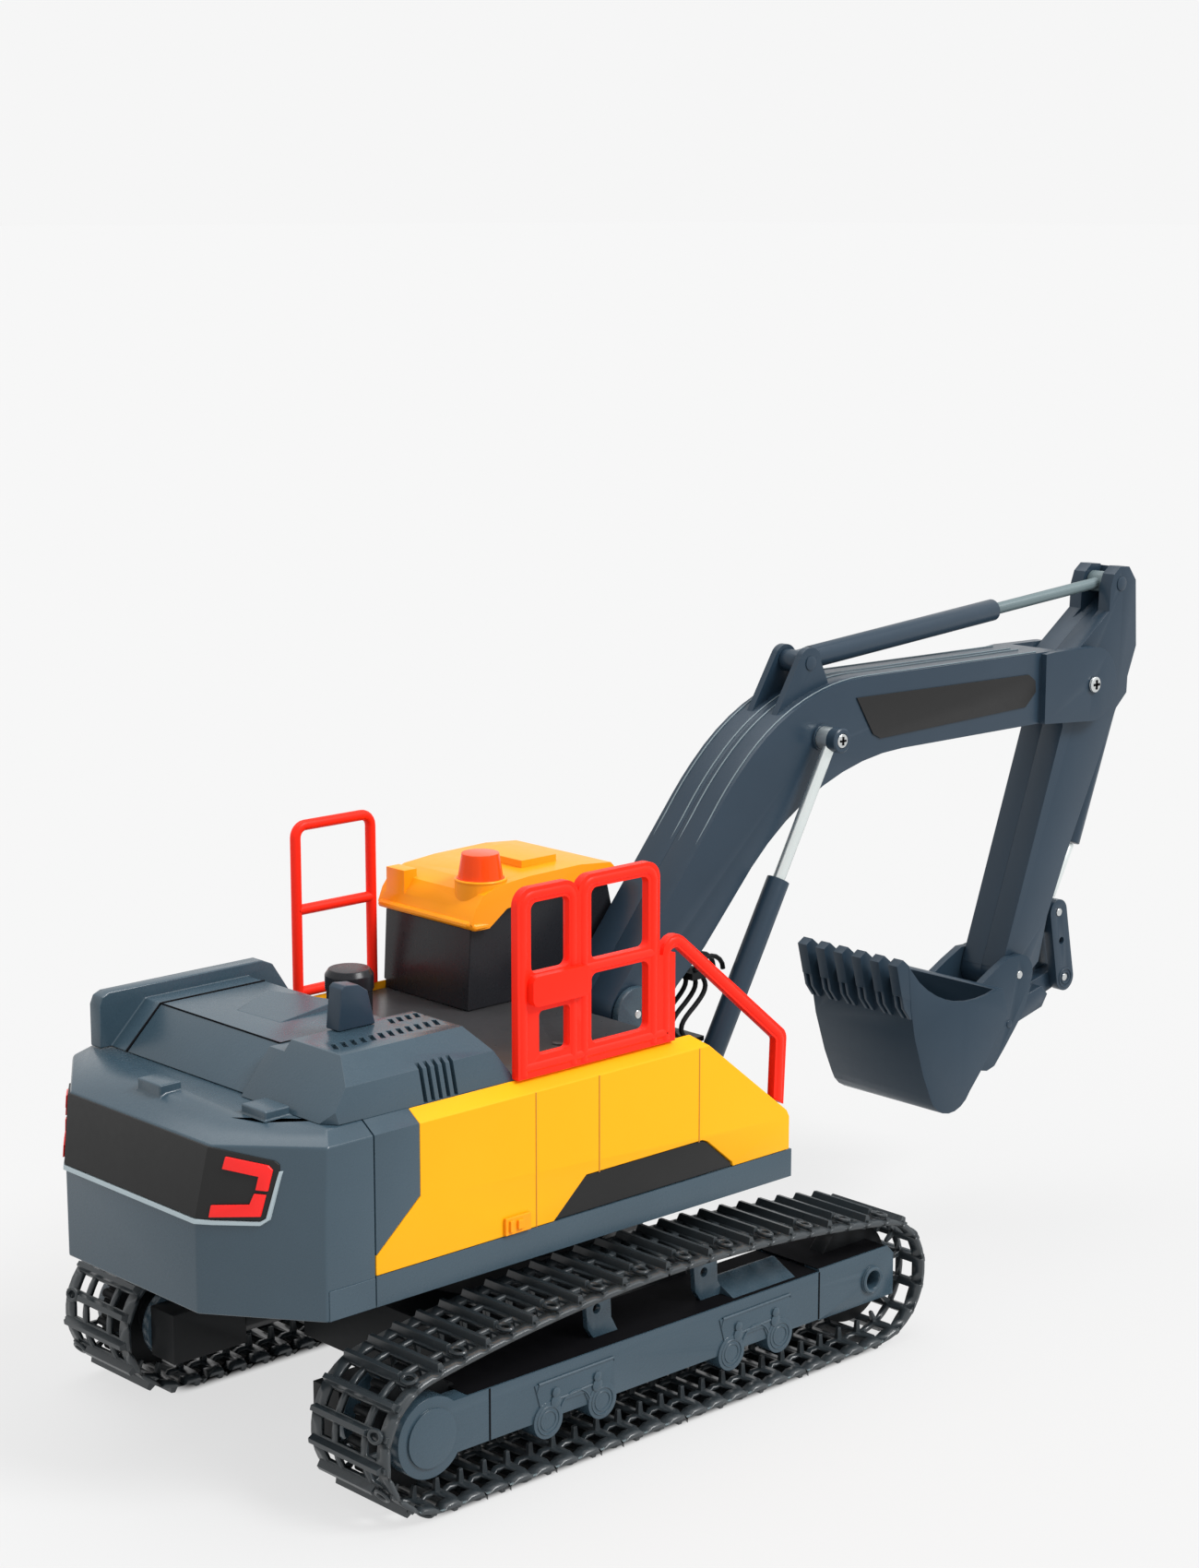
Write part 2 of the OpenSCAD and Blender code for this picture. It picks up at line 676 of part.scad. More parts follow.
// A barrel from the pivot a towards b: an eye, then a tube with a bore.
module barrel(a, b, length, start, y, eye_w) {
    translate([a[0], y, a[1]]) rotate([0, -aim(a, b), 0]) difference() {
        union() {
            bar_y([0, 0], 5, -eye_w, eye_w);
            translate([0, -eye_w, -3.4]) cube([start + 1, 2 * eye_w, 6.8]);
            translate([start, 0, 0]) rotate([0, 90, 0]) cylinder(h = length - start, r = barrel_r);
        }
        bar_y([0, 0], pin_r + fit, -10, 10);
        translate([start + 4, 0, 0]) rotate([0, 90, 0]) cylinder(h = length, r = bore_r);
    }
}

// A rod from the pivot a back towards b.
module rod(a, b, length, y, eye_y0, eye_y1) {
    translate([a[0], 0, a[1]]) rotate([0, -aim(a, b), 0]) difference() {
        union() {
            bar_y([0, 0], 5.2, eye_y0, eye_y1);
            translate([2, y, 0]) rotate([0, 90, 0]) cylinder(h = length - 2, r = rod_r);
        }
        bar_y([0, 0], pin_r + fit, -40, 40);
    }
}

lift_len = 103.3;
lift_rod_len = 101;
arm_barrel_len = 137;
arm_rod_len = 127;

module lift_barrel(s) color(slate_dark) placed()
    barrel(lift_foot, lift_top, lift_len, 11, s * lift_y, 2);

module lift_rod(s) color(chrome) placed()
    rod(lift_top, lift_foot, lift_rod_len, s * lift_y,
        s > 0 ? boom_w + 1.5 : -27.6, s > 0 ? 27.6 : -boom_w - 1.5);

module arm_barrel() color(slate_dark) placed()
    barrel(arm_foot, arm_top, arm_barrel_len, 9, 0, 5.4);

module arm_rod() color(steel) placed()
    rod(arm_top, arm_foot, arm_rod_len, 0, -5, 5);

// A round hose that follows a path given as [x, z], at one y.
hose_sides = 8;
module hose(path, y) {
    last = len(path) - 1;
    rings = [for (i = [0:last])
        let (along = path[min(i + 1, last)] - path[max(i - 1, 0)], n = [-along[1], along[0]] / norm(along))
        for (k = [0:hose_sides - 1])
            let (a = 360 * k / hose_sides, p = path[i] + hose_r * cos(a) * n)
            [p[0], y + hose_r * sin(a), p[1]]];
    polyhedron(rings, concat(
        [for (i = [0:last - 1]) for (k = [0:hose_sides - 1]) let (j = (k + 1) % hose_sides)
            [i * hose_sides + k, i * hose_sides + j, (i + 1) * hose_sides + j, (i + 1) * hose_sides + k]],
        [[for (k = [hose_sides - 1:-1:0]) k]],
        [[for (k = [0:hose_sides - 1]) last * hose_sides + k]]));
}

hose_r = 1.1;
hose_y = [-14, -8, -2, 4];
hose_top = [99, 155];             // where the hoses leave the boom's underside
hose_drop = 34;

// The wavy run of one hose, then the arc that hangs in front of it.
function hose_wave() = [for (i = [0:20])
    hose_top + [7 * sin(i * 18) * (i < 10 ? 1 : 1.1), -hose_drop * i / 20]];

module hose_bundle() color(black) placed() {
    for (y = hose_y) hose(hose_wave(), y);
    for (k = [0, 1]) hose([for (a = [160:-20:0]) hose_top + [12, -4] + 9 * [cos(a), sin(a) * 0.8]],
                          hose_y[0] + 6 * k + 3);
    box([96, -16, 150.6], [106.4, 6, 153.6]);
    box([95.4, -16, 122.4], [103.4, 6, 124.6]);
}

// ---- arm -------------------------------------------------------------------------

module arm_outline() union() {
    translate(tip) circle(17);
    translate(bucket_pin) circle(9);
    polygon([
        [311.6, 117], [353.7, 231.5], [353, 245], [362, 267], [388, 285], [388.6, 297]
        , [391, 303], [396, 306.6], [403, 306], [408.6, 299], [410.6, 266], [404.4, 251],
        [404, 243], [396, 236], [359, 166], [346, 138], [340, 116], [326, 106.6]]);
}

module arm_body() difference() {
    side_cut(0.05, arm_w) arm_outline();
    side_cut(-1, arm_w - shell_t) polygon([
        [324, 138], [356, 226], [364, 231], [386, 228], [354.5, 166], [342.4, 142], [335, 130]]);
    side_cut(-1, 5.4) polygon([[370, 276], [395, 286], [402, 290], [404, 310], [370, 310]]);
    bar_y(tip, pin_r + fit, -1, 20);
    for (p = [arm_top, bucket_pin]) bar_y(p, pin_r, -1, 20);
}

// The ear that carries the crank lever, between its two plates.
module crank_ear() difference() {
    side_cut(1.9, 3.8) {
        translate(crank_pin) circle(5);
        polygon([[334, 116], [352, 124], crank_pin + [3, -4], crank_pin + [-1, 5],
                 [353, 158], [343, 140]]);
    }
    bar_y(crank_pin, pin_r, 0, 12);
}

module arm_shell(s) color(slate_dark) placed() on_side(s) {
    arm_body();
    crank_ear();
}

module arm_pins() color(steel) placed() {
    bar_y(arm_top, pin_r, -arm_w, arm_w);
    bar_y(bucket_pin, pin_r, -17.4, 17.4);
    bar_y(crank_pin, pin_r, -9.6, 9.6);
}

module bucket_barrel() color(slate_dark) placed()
    translate([404.4, 0, 236.5]) rotate([0, 180 + 21.6, 0]) cylinder(h = 73, r = barrel_r);

module bucket_rod() color(chrome) placed() difference() {
    union() {
        translate([377.2, 0, 168]) rotate([0, 180 + 29.7, 0]) {
            cylinder(h = 28, r = rod_r);
            translate([0, 0, 20]) cylinder(h = 14, r = 1.7);
        }
        bar_y(crank_pin, 5, -1.8, 1.8);
    }
    bar_y(crank_pin, pin_r, -10, 10);
}

module crank_lever() color(slate_dark) placed()
    for (s = SIDES) on_side(s) difference() {
        side_cut(4, 9) {
            translate(crank_pin) circle(6.4);
            translate(link_pin) circle(6.6);
            polygon([crank_pin + [-6.3, -1], link_pin + [-6.5, -1], link_pin + [6.5, 1],
                     crank_pin + [6.3, 1]]);
        }
        bar_y(crank_pin, pin_r + fit, 0, 12);
        bar_y(link_pin, pin_r, 0, 12);
        bar_y((crank_pin * 1.3 + link_pin) / 2.3, 1.8, 0, 12);
    }

module crank_link_pin() color(steel) placed() bar_y(link_pin, pin_r, -9, 9);

link_play = 1.3;                  // clearance of the push link on the bucket's pin

module push_link() color(slate_dark) placed() difference() {
    union() {
        side_cut(-3.8, 3.8) {
            translate(link_pin) circle(4.6);
            polygon([[330, 88], link_pin + [1.2, -4.4], link_pin + [-1.2, 4.4], [330, 99.6]]);
        }
        side_cut(-12.6, 12.6) {
            translate(drive_pin) circle(4.8);
            polygon([drive_pin + [1.2, -4.6], [344, 92.4], [348, 98], [343, 103],
                     [331, 100.5], drive_pin + [-1.2, 4.6]]);
        }
    }
    bar_y(drive_pin, pin_r + link_play, -20, 20);
    bar_y(link_pin, pin_r + fit, -20, 20);
}

// ---- bucket ---------------------------------------------------------------------

// The side of the bucket: front wall, round bottom, back wall and the dished rim.
module bucket_outline() {
    polygon(concat(
        [[221.4, 137.5], [223.6, 116.5], [226.5, 102.7], [233.1, 83.1]],
        arc([253.4, 76.8], 16, 200, 330, 8),
        [[274.7, 76.7], [288.5, 93], [294.2, 101.1], [290.6, 114.6]],
        arc([270, 174], 61, 286, 228, 8)));
}

module bucket_bracket() {
    translate(bucket_pin) circle(10);
    polygon(concat(
        [[276, 80], [293, 70.5], [297, 69.6], [302.5, 71], [310.3, 79.1], [323.4, 93.7],
         [329, 106.6]],
        [bucket_pin + [3.6, 9.4], [311.7, 123.4], [300.7, 118.6], [290.6, 113.5]]));
}

// A tooth with the two ribs below it.
module tooth(y) {
    side_cut(y - 2.8, y + 2.8) polygon([
        [217, 124], [213.2, 139], [217.4, 141.4], [221.6, 138], [225, 126], [223.4, 121]]);
    for (dy = [-1.9, 1.9]) side_cut(y + dy - 0.85, y + dy + 0.85) polygon([
        [217, 125], [218.8, 118], [223.4, 112], [226, 112], [224, 126]]);
}

module bucket() color(slate) placed() difference() {
    union() {
        difference() {
            side_cut(-bucket_w, bucket_w) bucket_outline();
            front_cut(212, 230) polygon(concat(
                [[-26, 150]], arc([0, 190], 61, 245, 295, 8), [[26, 150]]));
        }
        for (s = SIDES) on_side(s) side_cut(13, 17) bucket_bracket();
        for (i = [0:tooth_count - 1])
            tooth((bucket_w - 2.9) * (2 * i / (tooth_count - 1) - 1));
    }
    side_cut(-bucket_w + 2.2, bucket_w - 2.2) polygon(concat(
        [[218, 150], [224, 132], [226, 117], [228.8, 103.3], [235.2, 84]],
        arc([253.4, 77.4], 13.8, 202, 328, 8),
        [[271, 82], [284, 97], [286, 104], [282, 150]]));
    bar_y(bucket_pin, pin_r + fit, -40, 40);
    for (s = SIDES) on_side(s) bar_y(drive_pin, pin_r, 12, 18);
}

module bucket_link_pin() color(steel) placed() bar_y(drive_pin, pin_r, -17.4, 17.4);

// ---- assembly -------------------------------------------------------------------

chassis_frame();
battery_cover();
battery_pack();
slew_ring();
track_frame(1);  // track_frame_left
track_frame(-1);  // track_frame_right
inner_frames();
track_belt(1);  // track_belt_left
track_belt(-1);  // track_belt_right
drive_gearboxes();
idler_axles();
frame_screws();
drive_sprocket(1);  // drive_sprocket_left
drive_sprocket(-1);  // drive_sprocket_right
idler_wheel(1);  // idler_wheel_left
idler_wheel(-1);  // idler_wheel_right
power_switch();
house_floor();
deck();
counterweight();
engine_hood();
hood_door();
side_hood();
side_panel(1);  // side_panel_left
side_panel(-1);  // side_panel_right
emblem_plates();
rear_label();
rear_stripe();
tail_lamps();
exhaust_fin();
precleaner_cap();
cab_shell();
cab_roof();
beacon();
handrail_left();
handrail_right();
circuit_board();
swing_gearbox();
foot_pins();
boom_shell(1);  // boom_shell_left
boom_shell(-1);  // boom_shell_right
boom_labels();
boom_pins();
lift_barrel(1);  // lift_barrel_left
lift_barrel(-1);  // lift_barrel_right
hose_bundle();
lift_rod(1);  // lift_rod_left
lift_rod(-1);  // lift_rod_right
arm_barrel();
arm_rod();
arm_shell(1);  // arm_shell_left
arm_shell(-1);  // arm_shell_right
arm_pins();
bucket_barrel();
bucket_rod();
crank_lever();
crank_link_pin();
push_link();
bucket();
bucket_link_pin();
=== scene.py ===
import bmesh
import bpy
import json
from math import asin, cos, pi, radians, sin
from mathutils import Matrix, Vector


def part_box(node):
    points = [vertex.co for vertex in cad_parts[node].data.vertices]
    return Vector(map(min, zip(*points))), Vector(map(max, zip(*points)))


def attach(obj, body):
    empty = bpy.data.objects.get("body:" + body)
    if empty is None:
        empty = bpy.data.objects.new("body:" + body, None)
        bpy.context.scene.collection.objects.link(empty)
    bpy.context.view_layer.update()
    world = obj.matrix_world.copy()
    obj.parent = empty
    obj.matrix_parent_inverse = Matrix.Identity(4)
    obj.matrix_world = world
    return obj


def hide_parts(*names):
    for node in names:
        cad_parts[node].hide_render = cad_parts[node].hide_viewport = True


MM = 0.001
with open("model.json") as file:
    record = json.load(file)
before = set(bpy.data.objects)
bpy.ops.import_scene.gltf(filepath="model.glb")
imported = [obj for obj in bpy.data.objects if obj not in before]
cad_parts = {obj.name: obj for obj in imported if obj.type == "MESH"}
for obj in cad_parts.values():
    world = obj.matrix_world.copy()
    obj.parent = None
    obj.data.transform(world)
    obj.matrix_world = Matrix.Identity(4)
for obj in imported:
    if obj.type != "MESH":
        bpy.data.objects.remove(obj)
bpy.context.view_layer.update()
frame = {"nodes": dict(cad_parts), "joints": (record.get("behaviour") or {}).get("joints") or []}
scene = bpy.context.scene

# ---- where things are -------------------------------------------------------

JOINTS = {joint["name"]: joint for joint in frame["joints"]}
SLEW = JOINTS["house_slew"]["pos_m"][0]
SIDES = {"left": 1, "right": -1}


def pivot(name):
    """A joint's place as (x, z), in millimetres from the slew axis."""
    place = JOINTS[name]["pos_m"]
    return (place[0] - SLEW) / MM, place[2] / MM


def span(name):
    """A CAD node's lowest and highest corner, in millimetres from the slew axis."""
    low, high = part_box(name)
    shift = Vector((SLEW, 0, 0))
    return (Vector(low) - shift) / MM, (Vector(high) - shift) / MM


# ---- material nodes ---------------------------------------------------------


def node(tree, kind, **inputs):
    """Adds a shader node and sets its sockets by name."""
    made = tree.nodes.new(kind)
    for name, value in inputs.items():
        made.inputs[name.replace("_", " ")].default_value = value
    return made


def noise(tree, scale, detail, roughness):
    """Noise in the piece's own coordinates, its scale per metre."""
    where = node(tree, "ShaderNodeTexCoord")
    made = node(tree, "ShaderNodeTexNoise", Scale=scale, Detail=detail, Roughness=roughness)
    tree.links.new(where.outputs["Object"], made.inputs["Vector"])
    return made.outputs["Fac"]


def remap(tree, source, start, end, low, high):
    """Stretches the range start to end of a value to the range low to high."""
    made = node(tree, "ShaderNodeMapRange", From_Min=start, From_Max=end, To_Min=low, To_Max=high)
    tree.links.new(source, made.inputs["Value"])
    return made.outputs["Result"]


def mix(tree, first, second, factor):
    """Mixes two colours, each a list of numbers or a node's output."""
    made = tree.nodes.new("ShaderNodeMix")
    made.data_type = "RGBA"
    for name, colour in (("A", first), ("B", second)):
        if isinstance(colour, bpy.types.NodeSocket):
            tree.links.new(colour, made.inputs[name])
        else:
            made.inputs[name].default_value = colour
    tree.links.new(factor, made.inputs["Factor"])
    return made.outputs["Result"]


PATCH_SCALE = 22.0
MARK_SCALE = 260.0
GRAIN_SCALE = 2600.0
GRAIN_HEIGHT = 0.0002
PATCH_LIFT = 0.004
# How much paler the painted edge highlight makes a colour.
EDGE_HIGHLIGHT_GAIN = 1.5
EDGE_HIGHLIGHT_LIFT = 0.05
# Pointiness of a flat face and of a sharp edge, between which the painted edge highlight grows.
FLAT, SHARP = 0.50, 0.62
MARKS_LOW, MARKS_HIGH = 0.3, 0.7
GLOSS_DROP = 0.03
GLOSS_RISE = 0.04


def scaled(colour, gain, lift=0.0):
    """A colour made lighter or darker, with its alpha."""
    return [min(1, c * gain + lift) for c in colour] + [1]


def patch_tone_and_edge_highlight(tree, colour, patch, edge):
    """The base colour: broad darker and paler patches, and a painted highlight that makes sharp edges
    paler.
    """
    broad = noise(tree, PATCH_SCALE, 3.0, 0.6)
    tone = mix(tree, scaled(colour, 1 - patch), scaled(colour, 1 + patch, PATCH_LIFT), broad)
    geometry = node(tree, "ShaderNodeNewGeometry")
    # The painted edge highlight, strongest on sharp edges.
    rim = remap(tree, geometry.outputs["Pointiness"], FLAT, SHARP, 0.0, edge)
    return mix(tree, tone, scaled(colour, EDGE_HIGHLIGHT_GAIN, EDGE_HIGHLIGHT_LIFT), rim)


def uneven_gloss(tree, roughness):
    """Roughness with faint handling marks."""
    marks = noise(tree, MARK_SCALE, 5.0, 0.7)
    return remap(tree, marks, MARKS_LOW, MARKS_HIGH, roughness - GLOSS_DROP, roughness + GLOSS_RISE)


def grain_bump(tree, strength):
    """The fine grain of a moulded surface."""
    bump = node(tree, "ShaderNodeBump", Strength=strength, Distance=GRAIN_HEIGHT)
    tree.links.new(noise(tree, GRAIN_SCALE, 2.0, 0.5), bump.inputs["Height"])
    return bump.outputs["Normal"]


def plastic(name, colour, roughness=0.42, grain=0.05, patch=0.10, edge=0.25, metal=0.0, shine=0.3):
    """Moulded plastic: fine grain, uneven gloss, tone patches and a painted highlight that makes edges
    slightly paler.
    """
    material = bpy.data.materials.new(name)
    material.use_nodes = True
    tree = material.node_tree
    shader = tree.nodes["Principled BSDF"]
    tree.links.new(patch_tone_and_edge_highlight(tree, colour, patch, edge), shader.inputs["Base Color"])
    tree.links.new(uneven_gloss(tree, roughness), shader.inputs["Roughness"])
    tree.links.new(grain_bump(tree, grain), shader.inputs["Normal"])
    shader.inputs["Metallic"].default_value = metal
    shader.inputs["Specular IOR Level"].default_value = shine
    return material


def clear_plastic(name, colour):
    """Tinted plastic that lets a little light through."""
    material = plastic(name, colour, roughness=0.16, grain=0.02, patch=0.04, edge=0.0, shine=0.15)
    shader = material.node_tree.nodes["Principled BSDF"]
    shader.inputs["Transmission Weight"].default_value = 0.15
    shader.inputs["IOR"].default_value = 1.49
    return material


# ---- materials --------------------------------------------------------------

# Each material's edge sets the strength of its painted edge highlight.
slate = plastic("slate_plastic", (0.027, 0.053, 0.074), roughness=0.27, grain=0.02, edge=0.15, shine=0.5)
bucket_slate = plastic("bucket_plastic", (0.017, 0.034, 0.053), roughness=0.36, edge=0.1, shine=0.2)
dark_slate = plastic("dark_slate_plastic", (0.015, 0.032, 0.052), roughness=0.32, edge=0.1)
black = plastic("black_plastic", (0.005, 0.006, 0.007), roughness=0.45, edge=0.04, shine=0.15)
belt_black = plastic("belt_rubber", (0.013, 0.019, 0.023), roughness=0.30, grain=0.09, shine=0.5)
yellow = plastic("yellow_plastic", (0.87, 0.375, 0.003), roughness=0.36, patch=0.03, edge=0.05,
                 shine=0.15)
roof_orange = plastic("roof_plastic", (0.91, 0.30, 0.003), roughness=0.33, patch=0.04, edge=0.05,
                      shine=0.2)
rail_red = plastic("rail_plastic", (0.92, 0.016, 0.003), roughness=0.40, patch=0.04, edge=0.1,
                   shine=0.15)
cab_dark = plastic("cab_plastic", (0.009, 0.010, 0.013), roughness=0.28, shine=0.25)
deck_brown = plastic("deck_plastic", (0.030, 0.030, 0.032), roughness=0.30, patch=0.2)
charcoal = plastic("label_print", (0.014, 0.014, 0.014), roughness=0.45, patch=0.05, edge=0.0,
                   shine=0.2)
# A paler rubber colour, a painted highlight on the belt's edge bead.
painted_belt_highlight = plastic("belt_edge_rubber", (0.10, 0.13, 0.14), roughness=0.35)
# A pale grey, a painted highlight on the boom's raised lines.
painted_line_highlight = plastic("line_plastic", (0.13, 0.17, 0.19), roughness=0.35)
silver = plastic("silver_foil", (0.36, 0.43, 0.46), roughness=0.35, metal=0.3)
lamp_red = plastic("lamp_print", (0.86, 0.010, 0.008), roughness=0.3, patch=0.04)
steel = plastic("plated_steel", (0.56, 0.58, 0.58), roughness=0.28, metal=1.0)
chrome = plastic("chrome_tube", (0.72, 0.77, 0.76), roughness=0.30, grain=0.02, metal=0.85)
grey_rod = plastic("grey_rod", (0.11, 0.15, 0.16), roughness=0.3)
beacon_red = clear_plastic("beacon_plastic", (0.95, 0.070, 0.001))
battery_blue = plastic("battery_sleeve", (0.04, 0.16, 0.45))
board_green = plastic("board_mask", (0.02, 0.14, 0.05))
# Near black, for painted shade in seams, screw slots and on the beam tops.
painted_shade_black = plastic("recess_shadow", (0.003, 0.003, 0.004), roughness=0.7, edge=0.0, shine=0.03)
# A darker copy of the yellow, painted shade in the panels' grooves.
shaded_yellow_groove = plastic("shaded_yellow_groove", (0.42, 0.16, 0.003), roughness=0.5, patch=0.03)

# The CAD nodes that each material covers.
FINISH = {
    slate: ["track_frame_left", "track_frame_right", "inner_frames", "house_floor",
            "counterweight", "engine_hood", "hood_door", "side_hood"],
    bucket_slate: ["bucket"],
    dark_slate: ["boom_shell_left", "boom_shell_right", "arm_shell_left", "arm_shell_right",
                 "lift_barrel_left", "lift_barrel_right", "arm_barrel", "bucket_barrel",
                 "crank_lever", "push_link", "exhaust_fin", "bucket_link_pin"],
    black: ["chassis_frame", "battery_cover", "drive_gearboxes", "hose_bundle", "slew_ring",
            "drive_sprocket_left", "drive_sprocket_right", "idler_wheel_left",
            "idler_wheel_right", "power_switch"],
    yellow: ["side_panel_left", "side_panel_right"],
    roof_orange: ["cab_roof"],
    rail_red: ["handrail_left", "handrail_right"],
    cab_dark: ["cab_shell", "precleaner_cap"],
    deck_brown: ["deck"],
    charcoal: ["emblem_plates", "rear_label", "boom_labels"],
    silver: ["rear_stripe"],
    lamp_red: ["tail_lamps"],
    beacon_red: ["beacon"],
    steel: ["idler_axles", "frame_screws", "foot_pins", "boom_pins", "arm_pins",
            "crank_link_pin", "swing_gearbox"],
    chrome: ["lift_rod_left", "lift_rod_right", "bucket_rod"],
    grey_rod: ["arm_rod"],
    battery_blue: ["battery_pack"],
    board_green: ["circuit_board"],
}

# ---- rounded edges of the CAD nodes -------------------------------------------

# Width of the rounding in millimetres, and the nodes that have it.
BEVELS = {
    1.7: ["handrail_right"],
    2.2: ["handrail_left"],
    2.6: ["cab_roof"],
    1.5: ["beacon", "precleaner_cap", "cab_shell"],
    1.2: ["boom_shell_left", "boom_shell_right"],
    0.8: ["counterweight", "arm_shell_left", "arm_shell_right", "crank_lever", "push_link", "bucket"],
    0.6: ["engine_hood", "side_hood", "hood_door"],
    0.5: ["exhaust_fin"],
    0.15: ["rear_label", "rear_stripe", "tail_lamps", "boom_labels"],
}
BEVEL_OF = {name: width for width, names in BEVELS.items() for name in names}
OTHER_BEVEL = 0.45
WIDE_BEVEL = 1
BEVEL_ANGLE = radians(28)
FLAT_ANGLE = radians(1)
WELD_DISTANCE = 0.01 * MM


def merge_flat_faces(piece):
    """Joins the CAD mesh's triangles into whole faces, so that a bevel runs along real edges."""
    weld = piece.modifiers.new("weld", "WELD")
    weld.merge_threshold = WELD_DISTANCE
    flat = piece.modifiers.new("flat", "DECIMATE")
    flat.decimate_type = "DISSOLVE"
    flat.angle_limit = FLAT_ANGLE


def soften(piece, width, segments):
    """Rounds the sharp edges of a piece and evens out its shading. The width is in millimetres."""
    bevel = piece.modifiers.new("bevel", "BEVEL")
    bevel.width = width * MM
    bevel.segments = segments
    bevel.limit_method = "ANGLE"
    bevel.angle_limit = BEVEL_ANGLE
    bevel.harden_normals = True
    for polygon in piece.data.polygons:
        polygon.use_smooth = True


for material, names in FINISH.items():
    for name in names:
        part = frame["nodes"][name]
        part.data.materials.clear()
        part.data.materials.append(material)
        width = BEVEL_OF.get(name, OTHER_BEVEL)
        merge_flat_faces(part)
        soften(part, width, segments=5 if width > WIDE_BEVEL else 3)


# ---- building blocks ----------------------------------------------------------

SMOOTH_ANGLE = radians(35)


class Shape:
    """A mesh put together from simple solids, in millimetres from the slew axis."""

    def __init__(self):
        self.points = []
        self.faces = []

    def add(self, points, faces):
        """Adds points, and faces between them."""
        start = len(self.points)
        self.points += [Vector(p) for p in points]
        self.faces += [[start + i for i in face] for face in faces]

    def rings(self, rings, closed=False):
        """Joins rings of points one after the other, and caps the ends unless they meet."""
        size = len(rings[0])
        count = len(rings)
        faces = []
        for i in range(count if closed else count - 1):
            here, there = i * size, (i + 1) % count * size
            for k in range(size):
                j = (k + 1) % size
                faces.append([here + k, here + j, there + j, there + k])
        if not closed:
            faces.append(list(range(size))[::-1])
            faces.append([(count - 1) * size + k for k in range(size)])
        self.add([p for ring in rings for p in ring], faces)

    def side_box(self, sign, x, y, z):
        """A block on one side of the machine, from pairs of X, of distances to the middle and of Z."""
        outline = [(x[0], z[0]), (x[1], z[0]), (x[1], z[1]), (x[0], z[1])]
        self.rings([side_line(outline, sign * far) for far in sorted(y, key=lambda far: sign * far)])

    def tube(self, path, radius, sides=10, closed=False):
        """A round tube along a path."""
        path = [Vector(p) for p in path]
        count = len(path)
        rings = []
        side = None
        for i, point in enumerate(path):
            after = path[(i + 1) % count] if closed or i < count - 1 else point
            before = path[i - 1] if closed or i > 0 else point
            along = (after - before).normalized()
            if side is None:
                side = along.orthogonal().normalized()
            side = (side - along * side.dot(along)).normalized()
            rings.append(circle(point, side, along.cross(side), radius, sides))
        self.rings(rings, closed=closed)

    def lathe(self, centre, axis, profile, sides=28):
        """A turned shape about an axis, from (radius, height) pairs."""
        axis = Vector(axis).normalized()
        side = axis.orthogonal().normalized()
        up = axis.cross(side)
        self.rings([circle(Vector(centre) + axis * height, side, up, radius, sides)
                    for radius, height in profile])

    def piece(self, name, material, body, *replaced, width=0.0, segments=2):
        """Makes the object, rounds its edges and lets it ride on a body."""
        mesh = bpy.data.meshes.new(name)
        shift = Vector((SLEW, 0, 0))
        mesh.from_pydata([p * MM + shift for p in self.points], [], self.faces)
        work = bmesh.new()
        work.from_mesh(mesh)
        bmesh.ops.recalc_face_normals(work, faces=work.faces)
        work.to_mesh(mesh)
        work.free()
        made = bpy.data.objects.new(name, mesh)
        scene.collection.objects.link(made)
        mesh.materials.append(material)
        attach(made, body)
        if replaced:
            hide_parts(*replaced)
        if width:
            soften(made, width, segments)
        else:
            for polygon in mesh.polygons:
                polygon.use_smooth = True
            mesh.set_sharp_from_angle(angle=SMOOTH_ANGLE)
        return made


def circle(centre, side, up, radius, count):
    """Points of a circle in the plane of two directions."""
    turns = [2 * pi * k / count for k in range(count)]
    return [centre + radius * (cos(a) * side + sin(a) * up) for a in turns]


def arc(centre, radius, start, end, count=8):
    """Points of an arc in a plane, angles in degrees."""
    turns = [radians(start + (end - start) * i / count) for i in range(count + 1)]
    return [(centre[0] + radius * cos(a), centre[1] + radius * sin(a)) for a in turns]


def side_line(points, y):
    """Points in X and Z, put at one Y."""
    return [(x, y, z) for x, z in points]


def side_ring(centre, radius, y, count=32):
    """Points of a circle that faces sideways."""
    return side_line(arc(centre, radius, 0, 360, count)[:-1], y)


# How deep a trim piece is sunk into the face that it sits on.
SINK = 1
# How far the strip that shows a seam stands proud of its face.
SEAM_PROUD = 0.15

# ---- belts ----------------------------------------------------------------------

BAR_COUNT = 56
BAR_HEIGHT = 2.8
BELT_THICKNESS = 2.0
# Widths across the belt, from its outer edge: solid, window, solid, window and so on.
EDGE, SIDE_WINDOW, RIB = 5.6, 7.0, 2.4
NEAR_RIB = EDGE + SIDE_WINDOW


